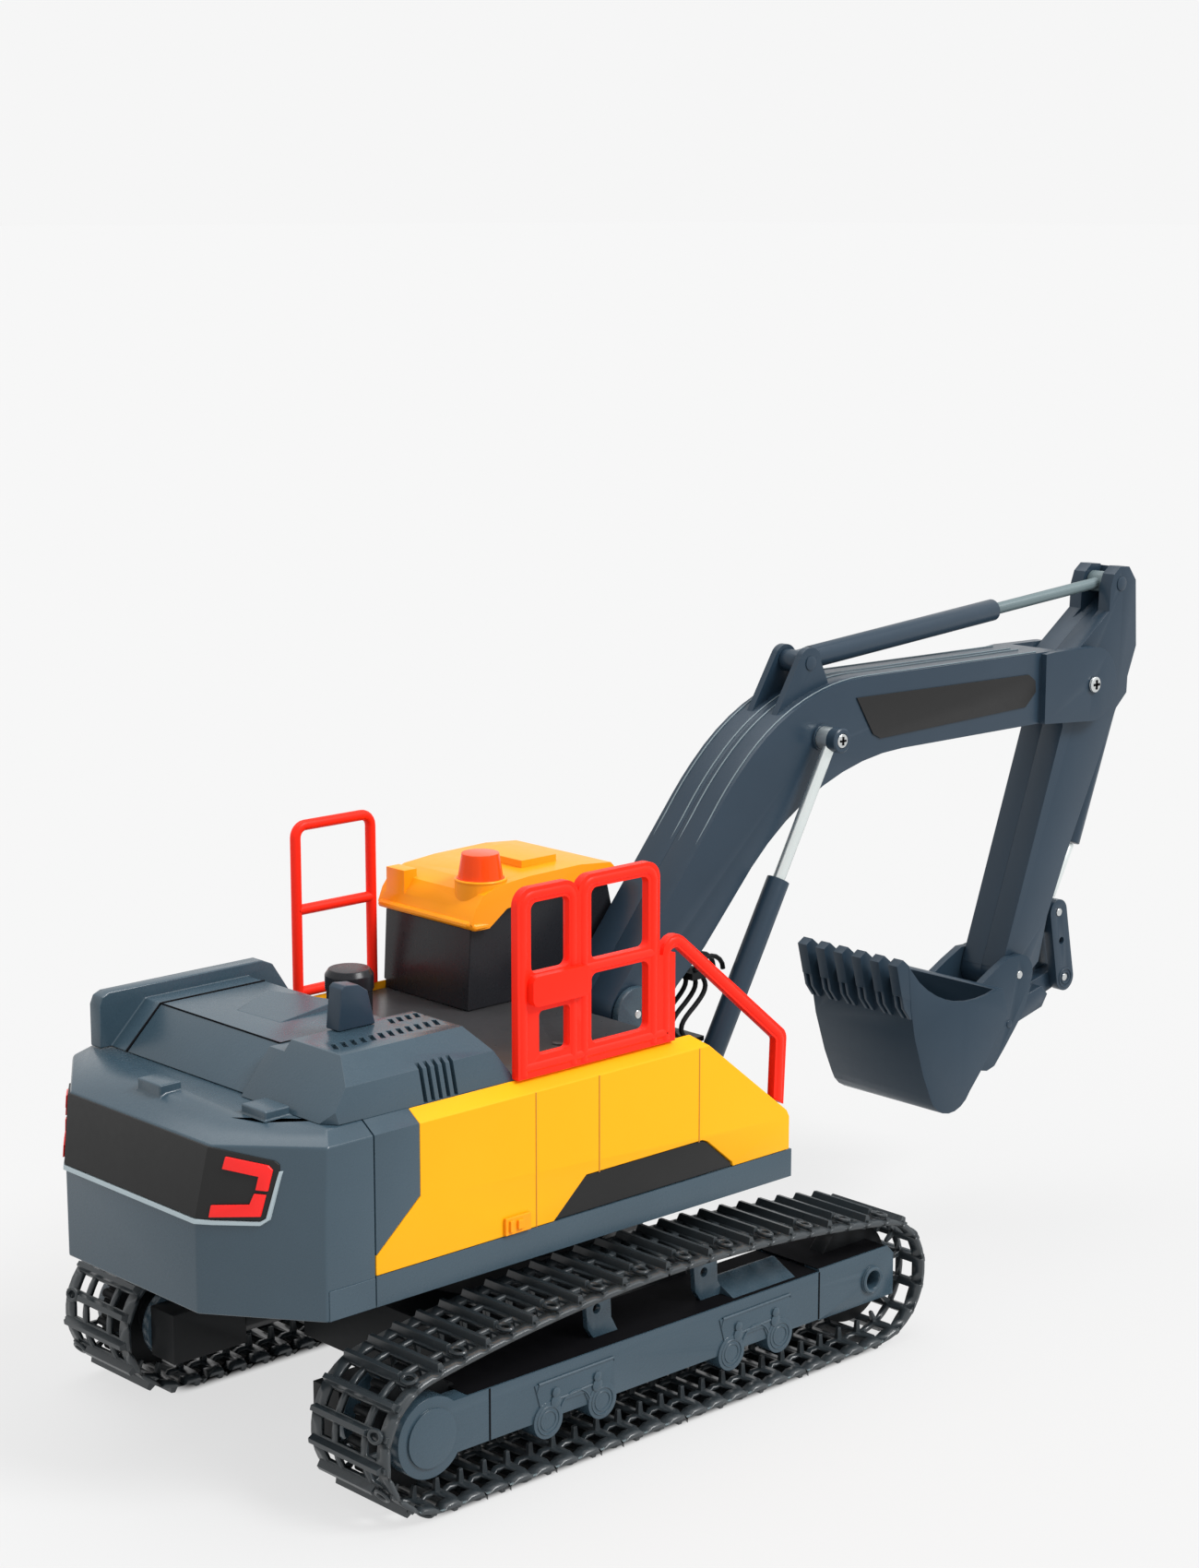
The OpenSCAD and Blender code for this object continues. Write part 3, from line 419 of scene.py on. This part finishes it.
class Loop:
    """The run of a belt round its two wheels and over its bowed top, in millimetres."""

    def __init__(self, side):
        low, high = span("track_belt_" + side)
        self.rear, self.height = pivot("sprocket_" + side + "_spin")
        self.front = pivot("idler_" + side + "_spin")[0]
        self.outer = self.height - low.z
        self.skin = self.outer - BAR_HEIGHT
        self.sign = SIDES[side]
        self.edge = max(abs(low.y), abs(high.y))
        self.width = high.y - low.y
        self.run = self.front - self.rear
        self.bow = high.z - self.height - self.outer
        # The bowed run is an arc: the radius of its axle line, and the half angle that it spans.
        self.reach = ((self.run / 2) ** 2 + self.bow ** 2) / (2 * self.bow)
        self.lean = asin(self.run / 2 / self.reach)
        # Lengths of skin over the top, round one wheel and all the way.
        self.top = 2 * self.lean * (self.reach + self.skin)
        self.turn = (pi - self.lean) * self.skin
        self.length = self.top + 2 * self.turn + self.run
        self.pitch = self.length / BAR_COUNT

    def at(self, s, radius, across):
        """A point s along the loop, at a distance from the axle line and from the outer edge."""
        s %= self.length
        x, z = self.front, self.height
        if s < self.top:
            angle = pi / 2 + self.lean * (1 - 2 * s / self.top)
            x = (self.rear + self.front) / 2
            z += self.bow - self.reach
            radius += self.reach
        elif s < self.top + self.turn:
            angle = pi / 2 - self.lean - (s - self.top) / self.skin
        elif s < self.top + self.turn + self.run:
            x -= s - self.top - self.turn
            angle = -pi / 2
        else:
            x = self.rear
            angle = -pi / 2 - (s - self.top - self.turn - self.run) / self.skin
        y = self.sign * (self.edge - across)
        return Vector((x + radius * cos(angle), y, z + radius * sin(angle)))

    def bar(self, shape, s, heights, halves, ends, slope):
        """A bar across the belt: its foot and top heights, half widths there, and its two ends."""
        foot, top = heights
        half_foot, half_top = halves
        rings = []
        for across, lean in ((ends[0], slope), (ends[1], -slope)):
            rings.append([self.at(s - half_foot, foot, across), self.at(s + half_foot, foot, across),
                          self.at(s + half_top, top, across + lean),
                          self.at(s - half_top, top, across + lean)])
        shape.rings(rings)

    def bar_places(self):
        """Where the bars are along the loop."""
        return [(i + 0.5) * self.pitch for i in range(BAR_COUNT)]


CROSS_HALF = 2.1


def belt_ladder(side, loop):
    """The belt's skin: a cross strip under each bar, solid edges and ribs, and windows between."""
    columns = [0, EDGE, NEAR_RIB, NEAR_RIB + RIB, loop.width - NEAR_RIB - RIB, loop.width - NEAR_RIB,
               loop.width - EDGE, loop.width]
    # Steps of one pitch from the middle of a cross strip; the first two begin a solid stretch.
    offsets = [-CROSS_HALF, 0, CROSS_HALF, loop.pitch / 2, loop.pitch - CROSS_HALF]
    steps = [(i * loop.pitch + offset, k < 2)
             for i in range(BAR_COUNT) for k, offset in enumerate(offsets)]
    size = len(columns)
    points = [loop.at(s + loop.pitch / 2, loop.skin, across) for s, _ in steps for across in columns]
    faces = []
    for i, (_, solid) in enumerate(steps):
        here, there = i * size, (i + 1) % len(steps) * size
        for j in range(size - 1):
            if solid or j % 2 == 0:
                faces.append([here + j, there + j, there + j + 1, here + j + 1])
    ladder = Shape()
    ladder.add(points, faces)
    skin = ladder.piece("belt_ladder_" + side, belt_black, "undercarriage", "track_belt_" + side)
    thick = skin.modifiers.new("thickness", "SOLIDIFY")
    thick.thickness = BELT_THICKNESS * MM
    thick.offset = 1 if skin.data.polygons[0].normal.z < 0 else -1


BAR_HALVES = (1.9, 0.9)
BAR_SLOPE = 0.7
BAR_FOOT = 0.5
LONG_BAR_START = 1.6
SHORT_BAR_START = 10.4
BAR_END = 0.8
RING_ACROSS = 6.0
RING_HALF_LENGTH = 2.1
RING_HALF_WIDTH = 3.3
RING_LIFT = 1.5
RING_RADIUS = 0.95
RING_POINTS = 16
NUB_HEIGHTS = (-1.6, 0.9)
NUB_HALVES = (1.7, 1.0)
NUB_ENDS = (0.1, 2.2)
NUB_SLOPE = 0.3


def belt_bars(side, loop):
    """Long and short bars in turn, a ring at the end of each short one, and nubs on the edge."""
    bars = Shape()
    for i, s in enumerate(loop.bar_places()):
        short = i % 2 == 1
        start = SHORT_BAR_START if short else LONG_BAR_START
        loop.bar(bars, s, (loop.skin - BAR_FOOT, loop.outer), BAR_HALVES,
                 (start, loop.width - BAR_END), BAR_SLOPE)
        if short:
            turns = [2 * pi * k / RING_POINTS for k in range(RING_POINTS)]
            ring = [loop.at(s + RING_HALF_LENGTH * cos(t), loop.skin + RING_LIFT,
                            RING_ACROSS + RING_HALF_WIDTH * sin(t)) for t in turns]
            bars.tube(ring, RING_RADIUS, sides=8, closed=True)
        nub_heights = [loop.skin + height for height in NUB_HEIGHTS]
        loop.bar(bars, s, nub_heights, NUB_HALVES, NUB_ENDS, NUB_SLOPE)
    bars.piece("belt_bars_" + side, belt_black, "undercarriage", width=0.35)


RIM_RADIUS = 0.42
RIM_ACROSS = 0.45
RIM_DEPTH = 0.5


def belt_rim_highlight(side, loop):
    """The bead along the belt's outer edge, painted paler as a highlight."""
    rim = Shape()
    count = BAR_COUNT * 4
    path = [loop.at(loop.length * i / count, loop.skin - RIM_DEPTH, RIM_ACROSS) for i in range(count)]
    rim.tube(path, RIM_RADIUS, sides=6, closed=True)
    rim.piece("belt_rim_highlight_" + side, painted_belt_highlight, "undercarriage")


POST_LENGTH = 5
POST_FOOT = 1
POST_HALVES = (1.5, 0.9)
POST_HALF_ACROSS = 1.1
POST_SLOPE = 0.3


def belt_posts(side, loop):
    """The guide posts on the belt's two ribs, which point inwards."""
    posts = Shape()
    heights = (loop.skin - POST_FOOT, loop.skin - BELT_THICKNESS - POST_LENGTH)
    for s in loop.bar_places():
        for across in (NEAR_RIB + RIB / 2, loop.width - NEAR_RIB - RIB / 2):
            ends = (across - POST_HALF_ACROSS, across + POST_HALF_ACROSS)
            loop.bar(posts, s, heights, POST_HALVES, ends, POST_SLOPE)
    posts.piece("belt_posts_" + side, belt_black, "undercarriage", width=0.3)


for side in SIDES:
    belt_loop = Loop(side)
    belt_ladder(side, belt_loop)
    belt_bars(side, belt_loop)
    belt_rim_highlight(side, belt_loop)
    belt_posts(side, belt_loop)

# ---- track frames -----------------------------------------------------------------

# How far the CAD's roller reliefs stand proud of the beam.
RELIEF_PROUD = 1
BOGIE_MIDDLES = (-50, 51)
ROLLER_OFFSET = 14.3
ROLLER_Z = 20.3
ROLLER_RINGS = (5.6, 3.9)
RING_PROUD = 0.8
ROLLER_RING_RADIUS = 0.4
BOLTS = ((-10.5, 30.8), (11.5, 31.2))
BOLT_PROFILE = ((2.0, 0), (2.0, 1.1), (1.5, 1.4), (0.1, 1.4))
NUT_PROFILE = ((2.6, 0), (2.6, 0.9), (2.2, 1.1), (0.1, 1.1))
NUT_DROP = 3.6
ARCH_Z = 20.5
ARCH_RADIUS = 8.2
RIB_ENDS = ((-9, 27.5), (9, 28.4))
RIB_PROUD = 0.5
RIB_RADIUS = 0.5
LEDGE_LINE = ((-19.5, 33), (-19, 36), (20.5, 36.4), (21, 35.4))
LEDGE_PROUD = 0.4
LEDGE_RADIUS = 0.6
BOLT_PROUD = 0.2
AXLE_RING = 5.0
AXLE_RING_RADIUS = 1.0


def bogie_trim(side):
    """Raised rings, bolts and ribs on the outer face of a track frame, and the front axle's ring."""
    sign = SIDES[side]
    face = max(abs(v.y) for v in span("track_frame_" + side)) - RELIEF_PROUD
    trim = Shape()
    for middle in BOGIE_MIDDLES:
        for x in (middle - ROLLER_OFFSET, middle + ROLLER_OFFSET):
            for radius in ROLLER_RINGS:
                ring = side_ring((x, ROLLER_Z), radius, sign * (face + RING_PROUD))
                trim.tube(ring, ROLLER_RING_RADIUS, sides=6, closed=True)
        for dx, z in BOLTS:
            for drop, profile in ((0, BOLT_PROFILE), (NUT_DROP, NUT_PROFILE)):
                foot = (middle + dx, sign * (face + BOLT_PROUD), z - drop)
                trim.lathe(foot, (0, sign, 0), profile, sides=16)
        arch = arc((middle, ARCH_Z), ARCH_RADIUS, 160, 20, 10)
        rib = [(middle + dx, z) for dx, z in RIB_ENDS]
        for line in (arch, rib):
            trim.tube(side_line(line, sign * (face + RIB_PROUD)), RIB_RADIUS, sides=6)
        ledge = [(middle + dx, z) for dx, z in LEDGE_LINE]
        trim.tube(side_line(ledge, sign * (face + LEDGE_PROUD)), LEDGE_RADIUS, sides=6)
    axle = side_ring(pivot("idler_" + side + "_spin"), AXLE_RING, sign * (face + RING_PROUD))
    trim.tube(axle, AXLE_RING_RADIUS, sides=8, closed=True)
    trim.piece("bogie_trim_" + side, slate, "undercarriage")


BEAM_SEAMS = (-93.6, 89.8)
BEAM_FACE = 98.7
BEAM_INNER = 62.3
BEAM_LOW, BEAM_TOP = 20.7, 41.4
BEAM_SEAM_HALF = 0.4


def frame_seams(side):
    """Dark lines where the beam meets its two end pieces, painted shade in the joints."""
    seams = Shape()
    for x in BEAM_SEAMS:
        seams.side_box(SIDES[side], (x - BEAM_SEAM_HALF, x + BEAM_SEAM_HALF),
                       (BEAM_FACE - SINK, BEAM_FACE + SEAM_PROUD), (BEAM_LOW, BEAM_TOP))
    seams.piece("frame_seams_" + side, painted_shade_black, "undercarriage")


PLATE_SECTION = ((97, 41.3), (84, 47.5), (82.4, 47.5), (82.4, 41.3))
PLATE_X = (41, 78)


def sloped_plate(side):
    """The plate that leans against the beam, in front of the second bracket."""
    plate = Shape()
    plate.rings([[(x, SIDES[side] * y, z) for y, z in PLATE_SECTION] for x in PLATE_X])
    plate.piece("sloped_plate_" + side, slate, "undercarriage", width=0.4)


# X and Z of each strip of painted shade on the beam tops.
BEAM_SHADE_STRIPS = (((-104, 89.6), (41.3, 41.75)), ((89.8, 132), (42.4, 42.85)))
BEAM_TOP_MARGIN = 0.9


def beam_top_shade(side):
    """Dark strips on the tops of the beams, painted shade where the belt shades them."""
    tops = Shape()
    for x, z in BEAM_SHADE_STRIPS:
        tops.side_box(SIDES[side], x, (BEAM_INNER, BEAM_FACE - BEAM_TOP_MARGIN), z)
    tops.piece("beam_top_shade_" + side, painted_shade_black, "undercarriage")


for side in SIDES:
    bogie_trim(side)
    frame_seams(side)
    sloped_plate(side)
    beam_top_shade(side)

# ---- hood --------------------------------------------------------------------

DOOR_LOW, DOOR_HIGH = span("hood_door")
# The scoop's four corners in X and Y, and how high its top is above the door at each.
SCOOP = ((-115, 29, 0.1), (-93, 39, 2.6), (-82, 5, 2.6), (-113.5, 1.4, 0.1))
SCOOP_SINK = 0.3
SCOOP_SHIFT = (0.6, 1)
SCOOP_NARROWING = 0.94


def hood_scoop():
    """The wedge on the hood door."""
    scoop = Shape()
    foot = [(x, y, DOOR_HIGH.z - SCOOP_SINK) for x, y, _ in SCOOP]
    top = [(x + SCOOP_SHIFT[0], y * SCOOP_NARROWING + SCOOP_SHIFT[1], DOOR_HIGH.z + rise)
           for x, y, rise in SCOOP]
    scoop.rings([foot, top])
    scoop.piece("hood_scoop", slate, "house", width=0.8, segments=4)


HOOD_FOOT_Z = 151.4
HOOD_RIDGE_X = -130.5
HOOD_FRONT_X = -79
DOOR_GAP = 0.35
SIDE_SEAM_RADIUS = 0.45
RIDGE_SEAM_RADIUS = 0.35


def hood_seams():
    """Dark lines of painted shade round the hood door: up its two sides and along its ridge."""
    seams = Shape()
    edges = (DOOR_LOW.y - DOOR_GAP, DOOR_HIGH.y + DOOR_GAP)
    for y in edges:
        seams.tube([(DOOR_LOW.x, y, HOOD_FOOT_Z), (HOOD_RIDGE_X, y, DOOR_HIGH.z),
                    (HOOD_FRONT_X, y, DOOR_HIGH.z)], SIDE_SEAM_RADIUS, sides=8)
    seams.tube([(HOOD_RIDGE_X, y, DOOR_HIGH.z) for y in edges], RIDGE_SEAM_RADIUS, sides=8)
    seams.piece("hood_seams", painted_shade_black, "house")


hood_scoop()
hood_seams()

# ---- side panels and counterweight ------------------------------------------------

PANEL_LOW, PANEL_HIGH = span("side_panel_right")
LATCH_PROUD = 0.8
CREASE_DROP = 4.6
HOUSE_SIDE = abs(PANEL_LOW.y) - LATCH_PROUD
CREASE_Z = PANEL_HIGH.z - CREASE_DROP
EMBLEM_TOP = span("emblem_plates")[1].z
GROOVE_HALF = 0.25
# X of each groove, and where it begins.
GROOVES = ((-55, PANEL_LOW.z), (-21.6, EMBLEM_TOP), (34, EMBLEM_TOP))


def panel_grooves():
    """The fine joint lines of the yellow panels, painted in shaded yellow."""
    grooves = Shape()
    for sign in SIDES.values():
        for x, low in GROOVES:
            grooves.side_box(sign, (x - GROOVE_HALF, x + GROOVE_HALF),
                             (HOUSE_SIDE - SINK, HOUSE_SIDE + SEAM_PROUD), (low, CREASE_Z))
    grooves.piece("panel_grooves", shaded_yellow_groove, "house")


# Each block of a latch: its X, how far it stands proud, and its Z.
LATCH_BLOCKS = (((-72, -59), 1.5, (92.7, 99.7)), ((-70.4, -68.6), 2.6, (94.0, 98.6)),
                ((-66.4, -63.2), 2.6, (94.4, 98.2)))


def panel_latches():
    """The latch low on each panel."""
    latches = Shape()
    for sign in SIDES.values():
        for x, proud, z in LATCH_BLOCKS:
            latches.side_box(sign, x, (HOUSE_SIDE, HOUSE_SIDE + proud), z)
    latches.piece("panel_latches", roof_orange, "house", width=0.3)


WEIGHT_LOW, WEIGHT_HIGH = span("counterweight")
STEP_REAR = -156.8
STEP_FRONT_GAP = 0.5
STEP_PROUD = 0.4
STEP_LOW_GAP = 0.1
STEP_HIGH_GAP = 0.4


def weight_steps():
    """The slightly raised band low on the counterweight's sides."""
    steps = Shape()
    for sign in SIDES.values():
        steps.side_box(sign, (STEP_REAR, WEIGHT_HIGH.x - STEP_FRONT_GAP),
                       (HOUSE_SIDE - SINK, HOUSE_SIDE + STEP_PROUD),
                       (WEIGHT_LOW.z + STEP_LOW_GAP, PANEL_LOW.z - STEP_HIGH_GAP))
    steps.piece("weight_steps", slate, "house", width=0.3)


panel_grooves()
panel_latches()
weight_steps()

# ---- cab roof ---------------------------------------------------------------------

ROOF_LOW, ROOF_HIGH = span("cab_roof")
LIP_RADIUS = 1.7
# X, inset from the roof's side and Z: the lip's rear corners, then its points along the right side.
REAR_LIP = (-1.8, 2, 185.4)
RIGHT_LIP = (REAR_LIP, (0, 0.6, 184.6), (8, 1.6, 184.2), (18, 1.8, 190.8), (40, 1.8, 193.8),
             (80, 1.8, 194.8))
BEACON_LOW, BEACON_HIGH = span("beacon")
BEACON_RING = 10.6
BEACON_RING_LIFT = 0.2
BEACON_RING_RADIUS = 0.7


def roof_lip():
    """The rolled edge at the back and right of the roof, and the ring under the beacon."""
    lip = Shape()
    path = [(REAR_LIP[0], ROOF_HIGH.y - REAR_LIP[1], REAR_LIP[2])]
    path += [(x, ROOF_LOW.y + inset, z) for x, inset, z in RIGHT_LIP]
    lip.tube(path, LIP_RADIUS)
    middle = (BEACON_LOW + BEACON_HIGH) / 2
    ring = [(x, y, BEACON_LOW.z + BEACON_RING_LIFT)
            for x, y in arc(middle, BEACON_RING, 0, 360, 40)[:-1]]
    lip.tube(ring, BEACON_RING_RADIUS, closed=True)
    lip.piece("roof_lip", roof_orange, "house")


roof_lip()

# ---- rails --------------------------------------------------------------------------

RAIL_BEND = 5


def rail_hoop(x0, x1, foot, top):
    """The line of an upright rail: up, over two bends and down."""
    line = [(x0, foot)]
    line += arc((x0 + RAIL_BEND, top - RAIL_BEND), RAIL_BEND, 180, 90, 6)
    line += arc((x1 - RAIL_BEND, top - RAIL_BEND), RAIL_BEND, 90, 0, 6)
    return line + [(x1, foot)]


LEFT_RADIUS = 2.3
LEFT_BAR_Z = 189.4
# How far the tube's line stays inside the CAD rail, besides its radius.
LEFT_FRONT_GAP = 1.6
LEFT_TOP_GAP = 0.7
LEFT_FOOT_GAP = 0.2
LEFT_LOW_BAR_GAP = 0.3


def left_rail():
    """The left rail, bent from one round tube, with a bar across it and one at its foot."""
    low, high = span("handrail_left")
    y = (low.y + high.y) / 2
    x0 = low.x + LEFT_RADIUS
    x1 = high.x - LEFT_RADIUS - LEFT_FRONT_GAP
    rail = Shape()
    hoop = rail_hoop(x0, x1, low.z + LEFT_FOOT_GAP, high.z - LEFT_RADIUS - LEFT_TOP_GAP)
    rail.tube(side_line(hoop, y), LEFT_RADIUS, sides=20)
    for z in (LEFT_BAR_Z, low.z + LEFT_RADIUS + LEFT_LOW_BAR_GAP):
        rail.tube([(x0, y, z), (x1, y, z)], LEFT_RADIUS, sides=20)
    rail.piece("rail_tube_left", rail_red, "house", "handrail_left")


RIGHT_Y = -77.1
RIGHT_FOOT = 152.4
RIGHT_RADIUS = 2.6
# Rear X, front X and top of each hoop, then the ends in X and the height of each bar.
RIGHT_HOOPS = ((-57.7, -31.8, 223.2), (-26.1, 11.6, 224.0))
RIGHT_BARS = ((-26.1, 11.6, 189.7), (-57.7, 20, 155.3))
RIGHT_SLOPE = ((18.6, RIGHT_FOOT), (18.6, 187.2), (19.7, 190.4), (21.8, 192.2), (24.4, 192.4),
               (26.9, 191.2), (84.4, 142.1), (85.7, 139.6), (84.8, 113.4))


def right_rail():
    """The round tubes on the right rail's plate: two hoops, two bars and the slope."""
    tubes = Shape()
    lines = [rail_hoop(x0, x1, RIGHT_FOOT, top) for x0, x1, top in RIGHT_HOOPS]
    lines += [((x0, z), (x1, z)) for x0, x1, z in RIGHT_BARS]
    lines += [RIGHT_SLOPE]
    for line in lines:
        tubes.tube(side_line(line, RIGHT_Y), RIGHT_RADIUS, sides=20)
    tubes.piece("rail_tubes_right", rail_red, "house")


left_rail()
right_rail()

# ---- screws and pins of the boom, arm and bucket ------------------------------------

LIFT_TOP = pivot("lift_rods_turn")
TIP = pivot("arm_swing")
ARM_TOP = pivot("arm_rod_turn")
ARM_FOOT = pivot("arm_barrel_turn")
LINK = pivot("link_turn")
BOOM_FACE = abs(span("boom_pins")[1].y)
ARM_PLUG_FACE = abs(span("arm_shell_right")[0].y) - 0.2
TIP_FACE = 19.8
FOOT_FACE = 9.0
CRANK_FACE = 9.0
# Place, distance to the middle and head radius of each boom screw.
SCREWS = ((LIFT_TOP, BOOM_FACE - 1.0, 3.1), (TIP, TIP_FACE, 3.8))
SLOT_LONG, SLOT_WIDE = 0.62, 0.16
# From where to where the cross reaches, above the foot of the head, by the sign of the side.
SLOT_HEIGHTS = {1: (0.72, 1.16), -1: (0.88, 1.32)}
COLLAR_FACE = BOOM_FACE - 1.3
COLLAR_PROFILE = ((5.6, -4), (5.6, 0.6), (5.0, 1.1), (3.4, 1.1), (3.4, 0.3))
ARM_PLUG = ((3.6, 0), (3.6, 0.6), (3.0, 0.9), (0.1, 0.9))
FOOT_PLUG = ((3.2, 0), (3.2, 0.7), (2.6, 0.9), (0.1, 0.9))


def side_turned(shape, place, y, profile, sides):
    """The same turned shape on both sides, its foot at a distance from the middle."""
    x, z = place
    for sign in SIDES.values():
        shape.lathe((x, sign * y, z), (0, sign, 0), profile, sides=sides)


def boom_screws():
    """Domed screw heads on the boom."""
    heads = Shape()
    for place, y, radius in SCREWS:
        dome = ((radius, 0), (radius, 0.5), (radius * 0.8, 0.95), (0.1, 1.1))
        side_turned(heads, place, y, dome, 24)
    heads.piece("boom_screws", steel, "boom")


def boom_screw_slots():
    """The dark cross in each screw head, painted shade in its recess."""
    slots = Shape()
    for (x, z), y, radius in SCREWS:
        for sign, (foot, top) in SLOT_HEIGHTS.items():
            for along, across in ((SLOT_LONG, SLOT_WIDE), (SLOT_WIDE, SLOT_LONG)):
                slots.side_box(sign, (x - radius * along, x + radius * along), (y + foot, y + top),
                               (z - radius * across, z + radius * across))
    slots.piece("boom_screw_slots", painted_shade_black, "boom")


def rod_collars():
    """The round ends of the lift rods."""
    collars = Shape()
    side_turned(collars, LIFT_TOP, COLLAR_FACE, COLLAR_PROFILE, 28)
    collars.piece("rod_collars", dark_slate, "lift_rods")


def plugs(name, body, place, y, profile):
    """Plugs over the ends of a pin."""
    shape = Shape()
    side_turned(shape, place, y, profile, 24)
    shape.piece(name, dark_slate, body)


# The boom's back, over its two bends, and how far each raised line is from the middle.
BACK_START = (330, 270.9)
BACK_BENDS = arc((205.5, 160.3), 112.1, 90, 130, 12) + arc((236.4, 123.5), 160.1, 131, 140, 4)
BACK_END = (52.5, 150.6)
BACK_LINES_Y = (-13.2, -2.4, 2.4, 13.2)
BACK_LINE_RADIUS = 0.35


def boom_back_highlight_lines():
    """Fine raised lines along the back of the boom, painted paler as highlights; the outer two stand for
    the highlight along its edges.
    """
    lines = Shape()
    for y in BACK_LINES_Y:
        lines.tube(side_line([BACK_START] + BACK_BENDS + [BACK_END], y), BACK_LINE_RADIUS, sides=6)
    lines.piece("boom_back_highlight_lines", painted_line_highlight, "boom")


CRANK_RINGS = (4.6, 2.9)
CRANK_RING_RADIUS = 0.5


def crank_rings():
    """Two raised rings round the crank's lower pin."""
    rings = Shape()
    for sign in SIDES.values():
        for radius in CRANK_RINGS:
            ring = side_ring(LINK, radius, sign * CRANK_FACE, 28)
            rings.tube(ring, CRANK_RING_RADIUS, sides=6, closed=True)
    rings.piece("crank_rings", dark_slate, "crank")


boom_screws()
boom_screw_slots()
rod_collars()
plugs("arm_plugs", "arm", ARM_TOP, ARM_PLUG_FACE, ARM_PLUG)
plugs("arm_foot_plugs", "boom", ARM_FOOT, FOOT_FACE, FOOT_PLUG)
boom_back_highlight_lines()
crank_rings()

# ---- camera, light and floor ---------------------------------------------------

AZIMUTH, ELEVATION = radians(-43.1), radians(11.0)
# From the slew axis, in metres.
CAMERA_PLACE = (-0.7902, -0.9040, 0.4815)
LENS = 68.4
NEAR_CLIP = 0.01


def add_camera():
    """The camera at the photograph's viewing angle."""
    camera = bpy.data.objects.new("camera", bpy.data.cameras.new("camera"))
    scene.collection.objects.link(camera)
    scene.camera = camera
    back = Vector((sin(AZIMUTH) * cos(ELEVATION), -cos(AZIMUTH) * cos(ELEVATION), sin(ELEVATION)))
    camera.rotation_euler = back.to_track_quat("Z", "Y").to_euler()
    camera.location = (SLEW + CAMERA_PLACE[0], CAMERA_PLACE[1], CAMERA_PLACE[2])
    camera.data.lens = LENS
    camera.data.clip_start = NEAR_CLIP


BACKGROUND = 0.922


def add_world():
    """An even white surrounding."""
    world = bpy.data.worlds.new("studio")
    scene.world = world
    world.use_nodes = True
    background = world.node_tree.nodes["Background"]
    background.inputs["Color"].default_value = (1, 1, 1, 1)
    background.inputs["Strength"].default_value = BACKGROUND


def sun(name, towards, spread, power):
    """An even light from one direction, softened by its spread in degrees."""
    light = bpy.data.objects.new(name, bpy.data.lights.new(name, "SUN"))
    light.data.angle = radians(spread)
    light.data.energy = power
    light.rotation_euler = Vector(towards).to_track_quat("Z", "Y").to_euler()
    scene.collection.objects.link(light)


def fade(tree, source, start, end):
    """A smooth step from 0 at start to 1 at end."""
    ramp = node(tree, "ShaderNodeMapRange", From_Min=start, From_Max=end)
    ramp.interpolation_type = "SMOOTHSTEP"
    tree.links.new(source, ramp.inputs["Value"])
    return ramp.outputs["Result"]


def maths(tree, operation, first, second=None):
    """A maths node on a node's output, and for some on a number or another output."""
    made = tree.nodes.new("ShaderNodeMath")
    made.operation = operation
    tree.links.new(first, made.inputs[0])
    if isinstance(second, float):
        made.inputs[1].default_value = second
    elif second is not None:
        tree.links.new(second, made.inputs[1])
    return made.outputs["Value"]


# The strips of floor inside the belts, in metres: where the shade begins and where it is full.
INNER_EDGE = (0.058, 0.066)
OUTER_EDGE = (0.1045, 0.099)
END_EDGE = (0.128, 0.114)
SHADE = (0.004, 0.004, 0.004, 1)
GLOW = 0.68
ALBEDO = 0.135


def floor_paper():
    """Pale paper: mostly an even glow, which fades to black in the deep shade inside the tracks."""
    material = bpy.data.materials.new("floor_paper")
    material.use_nodes = True
    tree = material.node_tree
    shader = tree.nodes["Principled BSDF"]
    shader.inputs["Roughness"].default_value = 1.0
    shader.inputs["Specular IOR Level"].default_value = 0.0
    shader.inputs["Emission Strength"].default_value = 1.0
    where = node(tree, "ShaderNodeTexCoord")
    parts = node(tree, "ShaderNodeSeparateXYZ")
    tree.links.new(where.outputs["Object"], parts.inputs["Vector"])
    across = maths(tree, "ABSOLUTE", parts.outputs["Y"])
    along = maths(tree, "ABSOLUTE", maths(tree, "SUBTRACT", parts.outputs["X"], SLEW))
    shade = maths(tree, "MULTIPLY", fade(tree, across, *INNER_EDGE), fade(tree, across, *OUTER_EDGE))
    shade = maths(tree, "MULTIPLY", shade, fade(tree, along, *END_EDGE))
    for socket, level in (("Base Color", ALBEDO), ("Emission Color", GLOW)):
        tree.links.new(mix(tree, (level, level, level, 1), SHADE, shade), shader.inputs[socket])
    return material


FLOOR_HALF = 60
FLOOR_DROP = 0.0002


def add_floor():
    """The pale floor, a hair below the tracks."""
    mesh = bpy.data.meshes.new("floor")
    corners = [(-FLOOR_HALF, -FLOOR_HALF, 0), (FLOOR_HALF, -FLOOR_HALF, 0),
               (FLOOR_HALF, FLOOR_HALF, 0), (-FLOOR_HALF, FLOOR_HALF, 0)]
    mesh.from_pydata(corners, [], [(0, 1, 2, 3)])
    floor = bpy.data.objects.new("floor", mesh)
    scene.collection.objects.link(floor)
    mesh.materials.append(floor_paper())
    floor.location.z = -FLOOR_DROP


scene.view_settings.view_transform = "Standard"
add_camera()
add_world()
sun("key", (0.35, -0.75, 0.85), 22, 2.6)
sun("top", (0.0, 0.25, 1.0), 50, 1.1)
add_floor()
